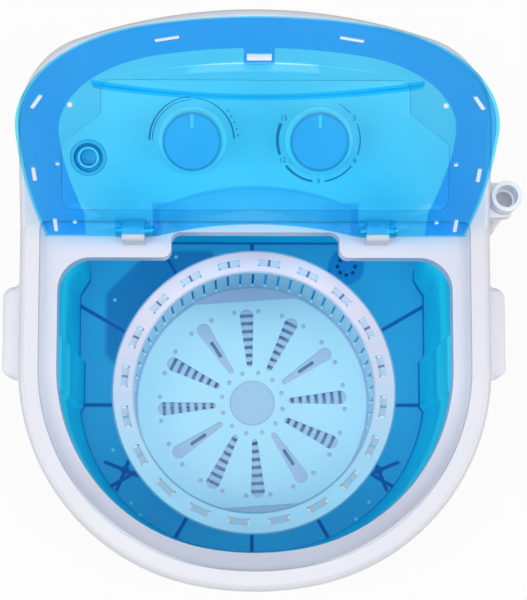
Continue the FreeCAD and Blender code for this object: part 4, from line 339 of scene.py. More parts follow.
def makeFinish(name, ownLook, makeTone=None):
    look = {**usualLook, **ownLook}
    finish = bpy.data.materials.new(name)
    finish.use_nodes = True
    tree = finish.node_tree
    shader = tree.nodes["Principled BSDF"]
    surface = tree.nodes.new("ShaderNodeGroup")
    surface.node_tree = mouldedSurface
    surface.inputs["Color"].default_value = (*look["color"], 1)
    surface.inputs["Second Color"].default_value = (*look["second"], 1)
    surface.inputs["Patch Scale"].default_value = look["patch"]
    surface.inputs["Grain Scale"].default_value = look["grain"]
    surface.inputs["Roughness"].default_value = look["rough"]
    surface.inputs["Polish Spread"].default_value = look["polish"]
    bump = tree.nodes.new("ShaderNodeBump")
    bump.inputs["Strength"].default_value = look["bump"]
    bump.inputs["Distance"].default_value = mould["bumpDepth"]
    tree.links.new(surface.outputs["Roughness"], shader.inputs["Roughness"])
    tree.links.new(surface.outputs["Height"], bump.inputs["Height"])
    tree.links.new(bump.outputs["Normal"], shader.inputs["Normal"])
    shader.inputs["Metallic"].default_value = look["metal"]
    shader.inputs["IOR"].default_value = look["ior"]
    shader.inputs["Specular IOR Level"].default_value = look["shine"]
    shader.inputs["Coat Weight"].default_value = look["coat"]
    shader.inputs["Coat Roughness"].default_value = look["coatRough"]
    shader.inputs["Transmission Weight"].default_value = look["clear"]
    tone = surface.outputs["Color"]
    if "low" in look:
        level = tree.nodes.new("ShaderNodeGroup")
        level.node_tree = levelTone
        tree.links.new(tone, level.inputs["Color"])
        level.inputs["Shade Color"].default_value = (*look["low"], 1)
        level.inputs["Level"].default_value = look["level"]
        level.inputs["Softness"].default_value = look["soft"]
        tone = level.outputs["Color"]
    if makeTone:
        tone = makeTone(tree, tone)
    tree.links.new(tone, shader.inputs["Base Color"])
    if "shade" in look:
        letLight(tree, shader, look)
    finishes[name] = finish


def planPlace(tree, middle):
    # position from a middle in plan, and height
    parts = tree.nodes.new("ShaderNodeSeparateXYZ")
    tree.links.new(objectPlace(tree), parts.inputs[0])
    return minus(tree, parts.outputs[0], middle[0]), minus(tree, parts.outputs[1], middle[1]), parts.outputs[2]


def fromSpoke(tree, x, y, count, first=0.0):
    # angle to the nearest of some even spokes; whole turns are added so that the fraction is never negative
    step = 2 * math.pi / count
    wholeTurns = 100.5
    turns = plus(tree, calc(tree, "DIVIDE", calc(tree, "ARCTAN2", y, x), step), wholeTurns - first / step)
    return times(tree, absolute(tree, minus(tree, calc(tree, "FRACT", turns), 0.5)), step)


# places that several pieces share
drumAxis = (0.0, -0.061)
panel = {"front": 0.058, "rim": 0.480, "slope": math.atan2(0.045, 0.158)}
hinge = {"place": (0.0, 0.053, 0.491), "open": math.radians(115.0)}

# finishes, one dictionary for each
makeFinish("whiteCasing", {
    "color": (0.78, 0.78, 0.83), "second": (0.76, 0.765, 0.82), "patch": 5.0, "grain": 1400.0, "rough": 0.34,
    "polish": 0.10, "bump": 0.05, "coat": 0.15, "lets": 0.4, "shade": (0.85, 0.93, 1.0)})
# the basket floor below the level is painted darker, as shade under the press plate
makeFinish("paleBasket", {
    "color": (0.67, 0.92, 0.95), "second": (0.63, 0.90, 0.94), "patch": 14.0, "grain": 900.0, "rough": 0.36,
    "bump": 0.06, "shine": 0.3, "lets": 0.65, "shade": (0.45, 0.80, 0.98), "low": (0.42, 0.59, 0.72),
    "level": 0.2368, "soft": 0.0004})
makeFinish("bluePulsator", {
    "color": (0.62, 0.85, 0.92), "second": (0.58, 0.82, 0.90), "patch": 14.0, "grain": 900.0, "rough": 0.34,
    "bump": 0.06, "lets": 0.40, "shade": (0.45, 0.75, 0.98)})
makeFinish("clearHose", {
    "color": (0.91, 0.91, 0.94), "second": (0.88, 0.885, 0.92), "patch": 60.0, "grain": 500.0, "rough": 0.32,
    "polish": 0.1, "bump": 0.08, "ior": 1.3, "clear": 0.14, "lets": 0.75, "shade": (0.92, 0.92, 0.95)})

# opaque finishes: two colors, patch, grain, roughness, bump, and what else differs
plainKeys = ("color", "second", "patch", "grain", "rough", "bump")
plainLooks = {
    "fasciaWhite": ((0.70, 0.70, 0.75), (0.76, 0.76, 0.81), 8.0, 1200.0, 0.36, 0.04, {"polish": 0.08}),
    "greyBase": ((0.42, 0.43, 0.46), (0.36, 0.37, 0.40), 12.0, 700.0, 0.5, 0.15, {}),
    "greyPipe": ((0.55, 0.57, 0.60), (0.50, 0.52, 0.56), 30.0, 1200.0, 0.4, 0.08, {}),
    "blackPlastic": ((0.03, 0.03, 0.035), (0.045, 0.045, 0.05), 40.0, 900.0, 0.45, 0.12, {}),
    "blackRubber": ((0.025, 0.025, 0.027), (0.04, 0.04, 0.042), 40.0, 1200.0, 0.75, 0.25, {}),
    "zincSteel": ((0.62, 0.63, 0.66), (0.50, 0.51, 0.54), 220.0, 2600.0, 0.32, 0.1, {"metal": 1.0}),
    "rotorSteel": ((0.46, 0.46, 0.48), (0.38, 0.38, 0.40), 160.0, 2200.0, 0.38, 0.12, {"metal": 1.0}),
    "castAluminium": ((0.58, 0.59, 0.61), (0.48, 0.49, 0.51), 60.0, 900.0, 0.5, 0.35, {"metal": 1.0}),
    "bushBronze": ((0.55, 0.36, 0.17), (0.46, 0.29, 0.13), 160.0, 2500.0, 0.42, 0.2, {"metal": 1.0}),
    "motorPaint": ((0.05, 0.055, 0.065), (0.07, 0.075, 0.085), 40.0, 700.0, 0.42, 0.2, {}),
    "capacitorCan": ((0.36, 0.38, 0.41), (0.33, 0.35, 0.38), 40.0, 900.0, 0.4, 0.08, {}),
    "printInk": ((0.16, 0.20, 0.34), (0.19, 0.23, 0.37), 200.0, 3000.0, 0.5, 0.05, {}),
    # painted highlight of the scoop's front edge
    "scoopHighlightBlue": ((0.36, 0.78, 0.98), (0.50, 0.86, 1.0), 40.0, 1500.0, 0.2, 0.03, {"coat": 0.4}),
    # the white is a painted highlight on the ends of the lid's hooks and pins
    "hookHighlightWhite": ((0.84, 0.87, 0.94), (0.80, 0.84, 0.93), 120.0, 1500.0, 0.5, 0.05, {}),
    "screenWhite": ((0.36, 0.55, 0.72), (0.32, 0.51, 0.69), 150.0, 1500.0, 0.5, 0.08, {}),
    "pointerWhite": ((0.86, 0.87, 0.90), (0.83, 0.84, 0.88), 200.0, 2500.0, 0.4, 0.05, {}),
    "strainerBlue": ((0.022, 0.50, 0.86), (0.018, 0.46, 0.83), 40.0, 900.0, 0.40, 0.06, {"shine": 0.2}),
}
for name, (*values, extra) in plainLooks.items():
    makeFinish(name, {**dict(zip(plainKeys, values)), **extra})

# the seat colours are painted shade, bluish from the tub's light, and darker at the front as a painted shadow of the
# rim
coverLook = {"color": (0.665, 0.665, 0.72), "second": (0.65, 0.655, 0.715), "patch": 6.0, "grain": 900.0,
             "rough": 0.34, "bump": 0.05, "coat": 0.08, "lets": 0.40, "shade": (0.85, 0.93, 1.0),
             "seat": (0.60, 0.63, 0.74), "seatFrontShadow": (0.40, 0.43, 0.53), "frontFrom": -0.02, "frontTo": -0.15,
             "skirt": (0.78, 0.78, 0.83), "height": 0.4765, "heightSoft": 0.0015, "middle": (0.0, -0.030),
             "inside": 0.172, "rear": 0.11, "edgeSoft": 0.001}


def coverTone(tree, plain):
    # the sunk seat of the lid is painted darker than the rim round it: a bluish painted shade, and a painted shadow of
    # the rim, most at the front
    look = coverLook
    x, y, z = planPlace(tree, look["middle"])
    across = length(tree, x, calc(tree, "MINIMUM", y, 0.0))
    inside = times(tree, below(tree, across, look["inside"], look["edgeSoft"]),
                   below(tree, y, look["rear"], look["edgeSoft"]))
    paintedFrontShare = spread(tree, y, look["frontTo"], look["frontFrom"], 1.0, 0.0)
    side = blendColor(tree, inside, look["skirt"], blendColor(tree, paintedFrontShare, look["seat"], look["seatFrontShadow"]))
    return blendColor(tree, below(tree, z, look["height"], look["heightSoft"]), plain, side)


makeFinish("whiteCover", coverLook, coverTone)

lidLook = {"color": (0.18, 0.80, 1.0), "second": (0.16, 0.78, 0.99), "patch": 5.0, "grain": 300.0, "rough": 0.03,
           "polish": 0.02, "bump": 0.01, "ior": 1.0005, "coat": 0.25, "coatRough": 0.06, "clear": 1.0,
           "shade": (0.55, 0.90, 1.0), "under": (0.12, 0.67, 0.97), "band": (0.09, 0.61, 0.95), "bandFrom": -0.0165,
           "edge": (0.07, 0.56, 0.96), "edgeFrom": -0.004, "half": 0.0775, "archEnd": 0.006, "archRise": 0.030,
           "line": (0.05, 0.45, 0.92), "lineHalf": 0.0007, "lineEdge": (0.6, 1.6), "fade": 0.0005}


def alongLid(tree):
    # distance from the lid's middle, and place along the lid, nought at the hinge and negative away from it
    x, y, z = planPlace(tree, hinge["place"])
    up = times(tree, minus(tree, z, hinge["place"][2]), -math.sin(hinge["open"]))
    return absolute(tree, x), plus(tree, times(tree, y, math.cos(hinge["open"])), up)


def lidTone(tree, plain):
    # deeper steps next to the hinge between the posts, under the fine crease of an arch
    look = lidLook
    x, along = alongLid(tree)
    middle = below(tree, x, look["half"], look["fade"])
    share = calc(tree, "DIVIDE", x, look["half"])
    rise = times(tree, minus(tree, 1.0, times(tree, share, share)), look["archRise"])
    fromArch = plus(tree, plus(tree, along, look["archEnd"]), rise)
    tone = blendColor(tree, times(tree, middle, above(tree, fromArch, 0.0, look["fade"])), plain, look["under"])
    for name in ("band", "edge"):
        step = times(tree, middle, above(tree, along, look[name + "From"], look["fade"]))
        tone = blendColor(tree, step, tone, look[name])
    crease = within(tree, absolute(tree, fromArch), look["lineHalf"], look["lineEdge"])
    return blendColor(tree, times(tree, crease, middle), tone, look["line"])


makeFinish("blueLid", lidLook, lidTone)

frameLook = {"color": (0.29, 0.61, 0.97), "second": (0.26, 0.59, 0.96), "patch": 5.0, "grain": 300.0, "rough": 0.05,
             "polish": 0.03, "bump": 0.01, "ior": 1.0005, "coat": 0.2, "coatRough": 0.08, "clear": 1.0,
             "shade": (0.55, 0.86, 1.0), "thin": (0.72, 0.93, 1.0), "bandFrom": -0.0410, "legs": 0.1262,
             "fade": 0.0004}


def frameTone(tree, plain):
    # the band next to the hinge is paler between the two legs
    look = frameLook
    x, along = alongLid(tree)
    thin = times(tree, above(tree, along, look["bandFrom"], look["fade"]), below(tree, x, look["legs"], look["fade"]))
    return blendColor(tree, thin, plain, look["thin"])


makeFinish("blueFrame", frameLook, frameTone)

# the low tone is painted shade in the window recesses and under the top edge; the front colours are painted blue light
# from the tub; the slit colour is painted shade in each slit
ringLook = {"color": (0.80, 0.72, 0.84), "second": (0.77, 0.70, 0.83), "patch": 14.0, "grain": 900.0, "rough": 0.30,
            "bump": 0.05, "coat": 0.1, "lets": 0.40, "shade": (0.60, 0.85, 0.98), "low": (0.52, 0.68, 0.84),
            "level": 0.3894, "soft": 0.0003, "front": (0.22, 0.66, 0.84), "frontLow": (0.26, 0.44, 0.58),
            "frontFrom": 0.06, "frontTo": -0.09, "frontShare": 0.9, "windows": 20, "firstTurn": math.radians(83.3),
            "slit": (0.03, 0.13, 0.32), "slitFront": (0.06, 0.62, 0.90), "slitHalf": 0.0010, "slitFrom": 0.1015,
            "slitTo": 0.1066, "slitBottom": 0.3880, "slitSoft": 0.0002}


def ringTone(tree, plain):
    look = ringLook
    x, y, z = planPlace(tree, drumAxis)
    reach = length(tree, x, y)
    # painted shade of a slit in the middle of each window
    aside = times(tree, fromSpoke(tree, x, y, look["windows"], look["firstTurn"]), reach)
    slit = times(tree, below(tree, aside, look["slitHalf"], look["slitSoft"]),
                 bandMask(tree, reach, look["slitFrom"], look["slitTo"], look["slitSoft"]))
    slit = times(tree, slit, spread(tree, z, look["slitBottom"] - look["slitSoft"], look["slitBottom"]))
    # the front half is painted bluer: painted blue light from the tub, seen through the ring and bounced onto it
    paintedFrontShare = spread(tree, y, look["frontTo"], look["frontFrom"], look["frontShare"], 0.0)
    front = blendColor(tree, above(tree, z, look["level"], look["soft"]), look["frontLow"], look["front"])
    slitShadeTone = blendColor(tree, paintedFrontShare, look["slit"], look["slitFront"])
    return blendColor(tree, slit, blendColor(tree, paintedFrontShare, plain, front), slitShadeTone)


makeFinish("paleRing", ringLook, ringTone)

plateLook = {"color": (0.51, 0.85, 0.88), "second": (0.48, 0.83, 0.87), "patch": 12.0, "grain": 900.0, "rough": 0.40,
             "bump": 0.06, "shine": 0.3, "lets": 0.40, "shade": (0.45, 0.80, 0.98), "hub": (0.42, 0.63, 0.74),
             "hubRadius": 0.0188, "hubSoft": 0.0002, "line": (0.30, 0.48, 0.60), "lineTo": 0.0197,
             "rim": (0.55, 0.80, 0.86), "rimTo": 0.0215, "lineSoft": 0.0003}


def plateTone(tree, plain):
    # a darker hub, with painted shade in a line round its step and a painted highlight on the paler rim outside it
    look = plateLook
    x, y, _ = planPlace(tree, drumAxis)
    reach = length(tree, x, y)
    tone = blendColor(tree, below(tree, reach, look["hubRadius"], look["hubSoft"]), plain, look["hub"])
    line = bandMask(tree, reach, look["hubRadius"], look["lineTo"], look["lineSoft"])
    rim = bandMask(tree, reach, look["lineTo"], look["rimTo"], look["lineSoft"])
    return blendColor(tree, rim, blendColor(tree, line, tone, look["line"]), look["rim"])


makeFinish("palePlate", plateLook, plateTone)

knobLook = {"color": (0.46, 0.52, 0.74), "second": (0.43, 0.49, 0.72), "patch": 30.0, "grain": 1500.0, "rough": 0.34,
            "bump": 0.05, "coat": 0.1, "skirt": (0.97, 0.97, 0.98), "top": 0.0175, "fade": 0.0004,
            "slope": math.radians(15.9)}


def knobTone(tree, plain):
    # white below the face, by the height over the sloping panel
    _, y, z = planPlace(tree, (0.0, panel["front"]))
    up = times(tree, minus(tree, z, panel["rim"]), math.cos(knobLook["slope"]))
    up = minus(tree, up, times(tree, y, math.sin(knobLook["slope"])))
    return blendColor(tree, below(tree, up, knobLook["top"], knobLook["fade"]), plain, knobLook["skirt"])


makeFinish("blueKnob", knobLook, knobTone)

inletLook = {"color": (0.38, 0.56, 0.74), "second": (0.35, 0.53, 0.72), "patch": 60.0, "grain": 1500.0, "rough": 0.4,
             "bump": 0.05, "middle": (-0.126, 0.108), "edge": (0.62, 0.78, 0.88), "edgeFrom": 0.0066,
             "edgeTo": 0.0082, "fade": 0.0002}


def inletTone(tree, plain):
    # a painted highlight on the tube's end face round the bore
    x, y, _ = planPlace(tree, inletLook["middle"])
    edge = bandMask(tree, length(tree, x, y), inletLook["edgeFrom"], inletLook["edgeTo"], inletLook["fade"])
    return blendColor(tree, edge, plain, inletLook["edge"])


makeFinish("inletBlue", inletLook, inletTone)

# the tub: clear blue plastic over a white casing, with the shade of the ribs, bosses and motor under its floor painted
# onto the floor
tubLook = {"color": (0.024, 0.86, 0.95), "second": (0.019, 0.83, 0.94), "patch": 7.0, "grain": 700.0, "rough": 0.40,
           "polish": 0.10, "bump": 0.04, "shine": 0.12, "high": (0.016, 0.50, 0.70), "highFrom": 0.32,
           "highTo": 0.44, "foot": (0.006, 0.26, 0.62), "footFrom": 0.223, "footTop": 0.226,
           "floor": (0.036, 0.48, 0.72), "floorTop": 0.2112, "floorSoft": 0.0006, "rib": (0.004, 0.14, 0.40),
           "ribCount": 12, "ribHalf": 0.0015, "ribEdge": (0.7, 1.5), "star": (0.113, -0.119), "starArm": 0.020,
           "starSoft": 0.0012, "starTurn": math.radians(22.0), "starHub": (0.0030, 0.0048),
           "motor": (-0.065, 0.012), "motorHalf": 0.067, "motorEdge": (0.95, 1.03), "motorShade": 0.6,
           "dot": (0.16, 0.80, 0.84), "dotRadius": 0.0017, "dotEdge": (0.6, 1.3),
           "dots": [(-0.1237, -0.1011), (-0.1073, -0.1480), (-0.0992, -0.1586), (0.0926, -0.1621), (0.1042, -0.1471),
                    (-0.1232, 0.0335), (-0.0686, 0.0726)]}


def starMask(tree, x, y):
    # painted shade of a star boss under the floor: four arms and a hub, the same on both sides
    look = tubLook
    dx = minus(tree, absolute(tree, x), look["star"][0])
    dy = minus(tree, y, look["star"][1])
    cos, sin = math.cos(look["starTurn"]), math.sin(look["starTurn"])
    along = plus(tree, times(tree, dx, cos), times(tree, dy, sin))
    side = minus(tree, times(tree, dy, cos), times(tree, dx, sin))
    reach = length(tree, dx, dy)
    thin = calc(tree, "MINIMUM", absolute(tree, along), absolute(tree, side))
    arm = times(tree, within(tree, thin, look["ribHalf"], look["ribEdge"]),
                below(tree, reach, look["starArm"], look["starSoft"]))
    return calc(tree, "MAXIMUM", arm, spread(tree, reach, *look["starHub"], 1.0, 0.0))


def motorMask(tree, x, y):
    # painted shade of the motor under the floor: a square with its corners cut off
    look = tubLook
    wide = absolute(tree, minus(tree, x, look["motor"][0]))
    deep = absolute(tree, minus(tree, y, look["motor"][1]))
    bevel = times(tree, plus(tree, wide, deep), math.sqrt(0.5))
    away = calc(tree, "MAXIMUM", calc(tree, "MAXIMUM", wide, deep), bevel)
    return times(tree, within(tree, away, look["motorHalf"], look["motorEdge"]), look["motorShade"])


def tubTone(tree, plain):
    look = tubLook
    dx, dy, _ = planPlace(tree, drumAxis)
    # painted shade of the ribs under the floor
    fromRib = times(tree, calc(tree, "SINE", fromSpoke(tree, dx, dy, look["ribCount"])), length(tree, dx, dy))
    rib = within(tree, fromRib, look["ribHalf"], look["ribEdge"])
    x, y, z = planPlace(tree, (0.0, 0.0))
    shade = calc(tree, "MAXIMUM", rib, calc(tree, "MAXIMUM", starMask(tree, x, y), motorMask(tree, x, y)))
    floorTone = blendColor(tree, shade, look["floor"], look["rib"])
    # pale weld marks
    for dot in look["dots"]:
        away = length(tree, minus(tree, x, dot[0]), minus(tree, y, dot[1]))
        floorTone = blendColor(tree, within(tree, away, look["dotRadius"], look["dotEdge"]), floorTone, look["dot"])
    # the upper wall is painted darker, a painted shade that evens out the lamp light there
    wallTone = blendColor(tree, spread(tree, z, look["highFrom"], look["highTo"]), plain, look["high"])
    # painted shade in the corner where the wall meets the floor
    foot = spread(tree, z, look["footFrom"], look["footTop"], 1.0, 0.0)
    wallTone = blendColor(tree, foot, wallTone, look["foot"])
    return blendColor(tree, below(tree, z, look["floorTop"], look["floorSoft"]), wallTone, floorTone)


makeFinish("blueTub", tubLook, tubTone)
print("finishes made")

slotFinishes = {
    "white_casing": "whiteCasing", "white_cover": "whiteCover", "fascia_white": "fasciaWhite",
    "grey_base": "greyBase", "blue_clear_lid": "blueLid", "blue_clear_frame": "blueFrame", "blue_tub": "blueTub",
    "pale_blue_basket": "paleBasket", "pale_blue_ring": "paleRing", "pale_blue_plate": "palePlate",
    "blue_pulsator": "bluePulsator", "blue_knob": "blueKnob", "clear_hose": "clearHose", "grey_pipe": "greyPipe",
    "black_plastic": "blackPlastic", "black_rubber": "blackRubber", "zinc_steel": "zincSteel",
    "rotor_steel": "rotorSteel", "cast_aluminium": "castAluminium", "bronze": "bushBronze",
    "painted_motor": "motorPaint", "grey_capacitor": "capacitorCan",
}
ownFinishes = {"drain_strainer": "strainerBlue", "water_inlet": "inletBlue"}


def dressNodes():
    slotOf = {row["node"]: row["material_slot"] for row in frame["record"]["subparts"]}
    for name, item in nodes.items():
        finish = finishes[ownFinishes.get(name, slotFinishes[slotOf[name]])]
        if not item.material_slots:
            item.data.materials.append(finish)
        for slot in item.material_slots:
            slot.material = finish


dressNodes()
print("nodes dressed")


# mesh helpers
def panelMatrix(x, y, lift):
    # a frame on the sloping control panel, by its plan position
    up = (y - panel["front"]) / math.cos(panel["slope"])
    turn = Matrix.Rotation(panel["slope"], 4, "X")
    base = Matrix.Translation(Vector((x, panel["front"], panel["rim"])))
    return base @ turn @ Matrix.Translation(Vector((0, up, lift)))


def around(angle):
    return Vector((math.cos(angle), math.sin(angle), 0))


def joinRings(form, rings):
    for low, high in zip(rings, rings[1:]):
        for step in range(len(low)):
            after = (step + 1) % len(low)
            form.faces.new((low[step], low[after], high[after], high[step]))


def capEnds(form, rings):
    form.faces.new(rings[0][::-1])
    form.faces.new(rings[-1])


def faceOutward(form):
    bmesh.ops.recalc_face_normals(form, faces=form.faces)


def bevelEdges(form, edges, sizes):
    bmesh.ops.bevel(form, geom=edges, offset=sizes["bevel"], segments=sizes["bevelSteps"], affect="EDGES")


sharpAngle = math.radians(35)


def newPiece(name, form, finish, body, smooth=True):
    mesh = bpy.data.meshes.new(name)
    form.to_mesh(mesh)
    form.free()
    mesh.materials.append(finishes[finish])
    if smooth:
        mesh.shade_smooth()
        mesh.set_sharp_from_angle(angle=sharpAngle)
    piece = bpy.data.objects.new(name, mesh)
    bpy.context.scene.collection.objects.link(piece)
    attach(piece, body)
    return piece


# ribbed drain hose, climbing from the outlet to the top clip
hose = {"x": 0.1915, "lowY": 0.064, "topY": 0.082, "bottom": 0.093, "top": 0.460, "bendLow": 0.130, "bendTop": 0.330,
        "crest": 0.0095, "valley": 0.0079, "bore": 0.0070, "plain": 0.019, "pitch": 0.0085, "around": 48,
        "rib": [(0.0, 0.0), (0.1, 0.25), (0.18, 0.8), (0.26, 1.0), (0.54, 1.0), (0.62, 0.8), (0.7, 0.25), (0.8, 0.0)]}


def hoseMiddle(z):
    part = min(max((z - hose["bendLow"]) / (hose["bendTop"] - hose["bendLow"]), 0), 1)
    rise = hose["topY"] - hose["lowY"]
    y = hose["lowY"] + rise * part * part * (3 - 2 * part)
    lean = rise * 6 * part * (1 - part) / (hose["bendTop"] - hose["bendLow"])
    return Vector((hose["x"], y, z)), Vector((0, lean, 1)).normalized()


def makeHose():
    form = bmesh.new()
    ribbed = hose["top"] - hose["bottom"] - 2 * hose["plain"]
    ribs = round(ribbed / hose["pitch"])
    pitch = ribbed / ribs
    rows = [(hose["bottom"], hose["bore"]), (hose["bottom"], hose["valley"])]
    for index in range(ribs):
        low = hose["bottom"] + hose["plain"] + pitch * index
        for share, swell in hose["rib"]:
            rows.append((low + pitch * share, hose["valley"] + (hose["crest"] - hose["valley"]) * swell))
    rows += [(hose["top"], hose["valley"]), (hose["top"], hose["bore"])]
    rings = []
    for z, radius in rows:
        middle, way = hoseMiddle(z)
        across = Vector((1, 0, 0))
        back = way.cross(across)
        ring = []
        for step in range(hose["around"]):
            angle = 2 * math.pi * step / hose["around"]
            ring.append(form.verts.new(middle + (across * math.cos(angle) + back * math.sin(angle)) * radius))
        rings.append(ring)
    joinRings(form, rings + rings[:1])
    faceOutward(form)
    piece = newPiece("ribbedHose", form, "clearHose", "casing")
    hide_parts("drain_hose")


makeHose()
print("hose made")

# printed scales round the knobs, with plain numbers for minutes
scales = {"knobX": 0.0475, "knobY": 0.121, "radius": 0.0312, "lift": 0.00045, "ink": 0.00006, "numberSize": 0.0056,
          "minutes": [(15, 148), (12, 209), (9, 270), (6, 331), (3, 392)], "gap": 8.5, "taper": 0.85,
          "widths": [0.0024, 0.0020, 0.0014, 0.0009], "tail": (0.0, 40.5, 62, 0.0007, 0.0004),
          "arcs": [(0.0012, 180, 92, 0.0014, 0.0006), (-0.0010, 180, 92, 0.0007, 0.0005), (0.0, 88, 2, 0.0005, 0.0013)],
          "dots": 5, "dotFrom": 6, "dotStep": 8.5, "dotOut": 0.0030, "dotRadius": 0.00065, "dotSteps": 16,
          "arcStep": 3, "fewestSteps": 6}


def addArc(form, place, out, start, end, startWidth, endWidth):
    steps = max(scales["fewestSteps"], int(abs(end - start) / scales["arcStep"]))
    radius = scales["radius"] + out
    lift = Vector((0, 0, scales["ink"]))
    rings = []
    for step in range(steps + 1):
        share = step / steps
        way = around(math.radians(start + (end - start) * share))
        half = (startWidth + (endWidth - startWidth) * share) / 2
        near, far = way * (radius - half), way * (radius + half)
        rings.append([form.verts.new(place @ corner) for corner in (near, far, far + lift, near + lift)])
    joinRings(form, rings)
    capEnds(form, rings)


def addDot(form, place, angle):
    middle = around(angle) * (scales["radius"] + scales["dotOut"]) + Vector((0, 0, scales["ink"] / 2))
    radius = scales["dotRadius"]
    bmesh.ops.create_cone(form, cap_ends=True, segments=scales["dotSteps"], radius1=radius, radius2=radius,
                          depth=scales["ink"], matrix=place @ Matrix.Translation(middle))


def addNumber(form, text, place):
    curve = bpy.data.curves.new("numeral", "FONT")
    curve.body = text
    curve.size = scales["numberSize"]
    curve.align_x = "CENTER"
    curve.align_y = "CENTER"
    curve.extrude = scales["ink"] / 2
    holder = bpy.data.objects.new("numeral", curve)
    bpy.context.scene.collection.objects.link(holder)
    bpy.context.view_layer.update()
    mesh = bpy.data.meshes.new_from_object(holder)
    mesh.transform(place)
    form.from_mesh(mesh)
    bpy.data.objects.remove(holder)
    bpy.data.meshes.remove(mesh)


def makeSelectorScale():
    form = bmesh.new()
    place = panelMatrix(-scales["knobX"], scales["knobY"], scales["lift"])
    for row in scales["arcs"]:
        addArc(form, place, *row)
    for index in range(scales["dots"]):
        addDot(form, place, math.radians(scales["dotFrom"] + scales["dotStep"] * index))
    faceOutward(form)
    newPiece("selectorScale", form, "printInk", "casing", smooth=False)


def makeTimerScale():
    form = bmesh.new()
    place = panelMatrix(scales["knobX"], scales["knobY"], scales["lift"])
    for number, angle in scales["minutes"]:
        middle = around(math.radians(angle)) * scales["radius"] + Vector((0, 0, scales["ink"] / 2))
        addNumber(form, str(number), place @ Matrix.Translation(middle))
    for width, (_, start), (_, end) in zip(scales["widths"], scales["minutes"], scales["minutes"][1:]):
        addArc(form, place, 0.0, start + scales["gap"], end - scales["gap"], width, width * scales["taper"])
    addArc(form, place, *scales["tail"])
    faceOutward(form)
    newPiece("timerScale", form, "printInk", "casing", smooth=False)


makeSelectorScale()
makeTimerScale()
print("scales printed")

# white pointer on each knob
pointer = {"top": 0.0197, "height": 0.00075, "from": 0.0105, "to": 0.0204, "half": 0.00125, "gap": 0.00002,
           "upperShare": 0.6, "bevel": 0.0002, "bevelSteps": 3}


def makePointers():
    for name, sign, body in (("selectorPointer", -1, "selector"), ("timerPointer", 1, "timer")):
        form = bmesh.new()
        place = panelMatrix(scales["knobX"] * sign, scales["knobY"], pointer["top"])
        bmesh.ops.create_cube(form, size=1.0)
        height = pointer["height"]
        middle = Vector((0, (pointer["from"] + pointer["to"]) / 2, height / 2 + pointer["gap"]))
        scale = Matrix.Diagonal((pointer["half"] * 2, pointer["to"] - pointer["from"], height, 1))
        bmesh.ops.transform(form, matrix=Matrix.Translation(middle) @ scale, verts=form.verts)
        level = height * pointer["upperShare"]
        upper = [edge for edge in form.edges if all(vert.co.z > level for vert in edge.verts)]
        bevelEdges(form, upper, pointer)
        bmesh.ops.transform(form, matrix=place, verts=form.verts)
        newPiece(name, form, "pointerWhite", body)


makePointers()
print("pointers made")

# clear lid shell with a lens-shaped finger scoop, drawn shut and then opened with the frame
lid = {"halfWidth": 0.167, "front": -0.2025, "frontRadius": 0.311, "cornerRadius": 0.121, "cornerX": 0.046,
       "cornerY": -0.0759, "sideY": -0.059, "sideRadius": 0.5563, "rear": 0.046, "archX": 0.074, "archRise": 0.016,
       "postX": 0.0917, "postHalf": 0.0088, "postDeep": 0.0435, "bottom": 0.4834, "foot": 0.4812,
       "frontHeight": 0.0085, "rearHeight": 0.022, "crown": 0.006, "edgeRun": 0.026, "wall": 0.0018, "cell": 0.008,
       "clearShare": 0.4, "onLoop": 1e-5, "merge": 1e-7, "scoopY": -0.114, "scoopHalf": 0.114, "scoopFront": 0.023,
       "scoopRear": 0.017, "scoopSlope": 0.0035, "scoopDeep": 0.0055, "scoopSteps": 48,
       "frontSteps": 10, "cornerSteps": 26, "sideSteps": 12, "archSteps": 24}


def arcPoints(middle, radius, start, end, count):
    angles = [math.radians(start + (end - start) * step / count) for step in range(count + 1)]
    return [(middle[0] + radius * math.cos(angle), middle[1] + radius * math.sin(angle)) for angle in angles]


def bowPoints(half, y, rise, count):
    # a shallow arc from one end of a chord to the other, by its rise
    radius = (half * half + rise * rise) / (2 * abs(rise))
    swing = math.degrees(math.asin(half / radius))
    if rise < 0:
        return arcPoints((0, y + rise + radius), radius, 270 - swing, 270 + swing, count)
    return arcPoints((0, y + rise - radius), radius, 90 - swing, 90 + swing, count)


def lidSide():
    # the right side from the front to the hinge
    frontMiddle = lid["front"] + lid["frontRadius"]
    lean = math.degrees(math.asin(lid["cornerX"] / (lid["frontRadius"] - lid["cornerRadius"])))
    side = arcPoints((0, frontMiddle), lid["frontRadius"], 270, 270 + lean, lid["frontSteps"])[1:]
    corner = (lid["cornerX"], lid["cornerY"])
    side += arcPoints(corner, lid["cornerRadius"], 270 + lean, 360, lid["cornerSteps"])[1:]
    swing = math.degrees(math.asin((lid["rear"] - lid["sideY"]) / lid["sideRadius"]))
    sideMiddle = (lid["halfWidth"] - lid["sideRadius"], lid["sideY"])
    return side + arcPoints(sideMiddle, lid["sideRadius"], 0, swing, lid["sideSteps"])


def mirrored(points):
    return [(-x, y) for x, y in reversed(points)]


def lidRear():
    # the hinge edge from right to left, with a notch for each post and an arch between them
    outer, inner = lid["postX"] + lid["postHalf"], lid["postX"] - lid["postHalf"]
    post = [(outer, lid["rear"]), (outer, lid["postDeep"]), (inner, lid["postDeep"]), (inner, lid["rear"])]
    arch = bowPoints(lid["archX"], lid["rear"], -lid["archRise"], lid["archSteps"])[::-1]
    return post + arch + mirrored(post)


def scoopLoop(shrink):
    half = lid["scoopHalf"] - shrink
    front = bowPoints(half, lid["scoopY"], -(lid["scoopFront"] - shrink), lid["scoopSteps"])
    return front + bowPoints(half, lid["scoopY"], lid["scoopRear"] - shrink, lid["scoopSteps"])[1:-1]


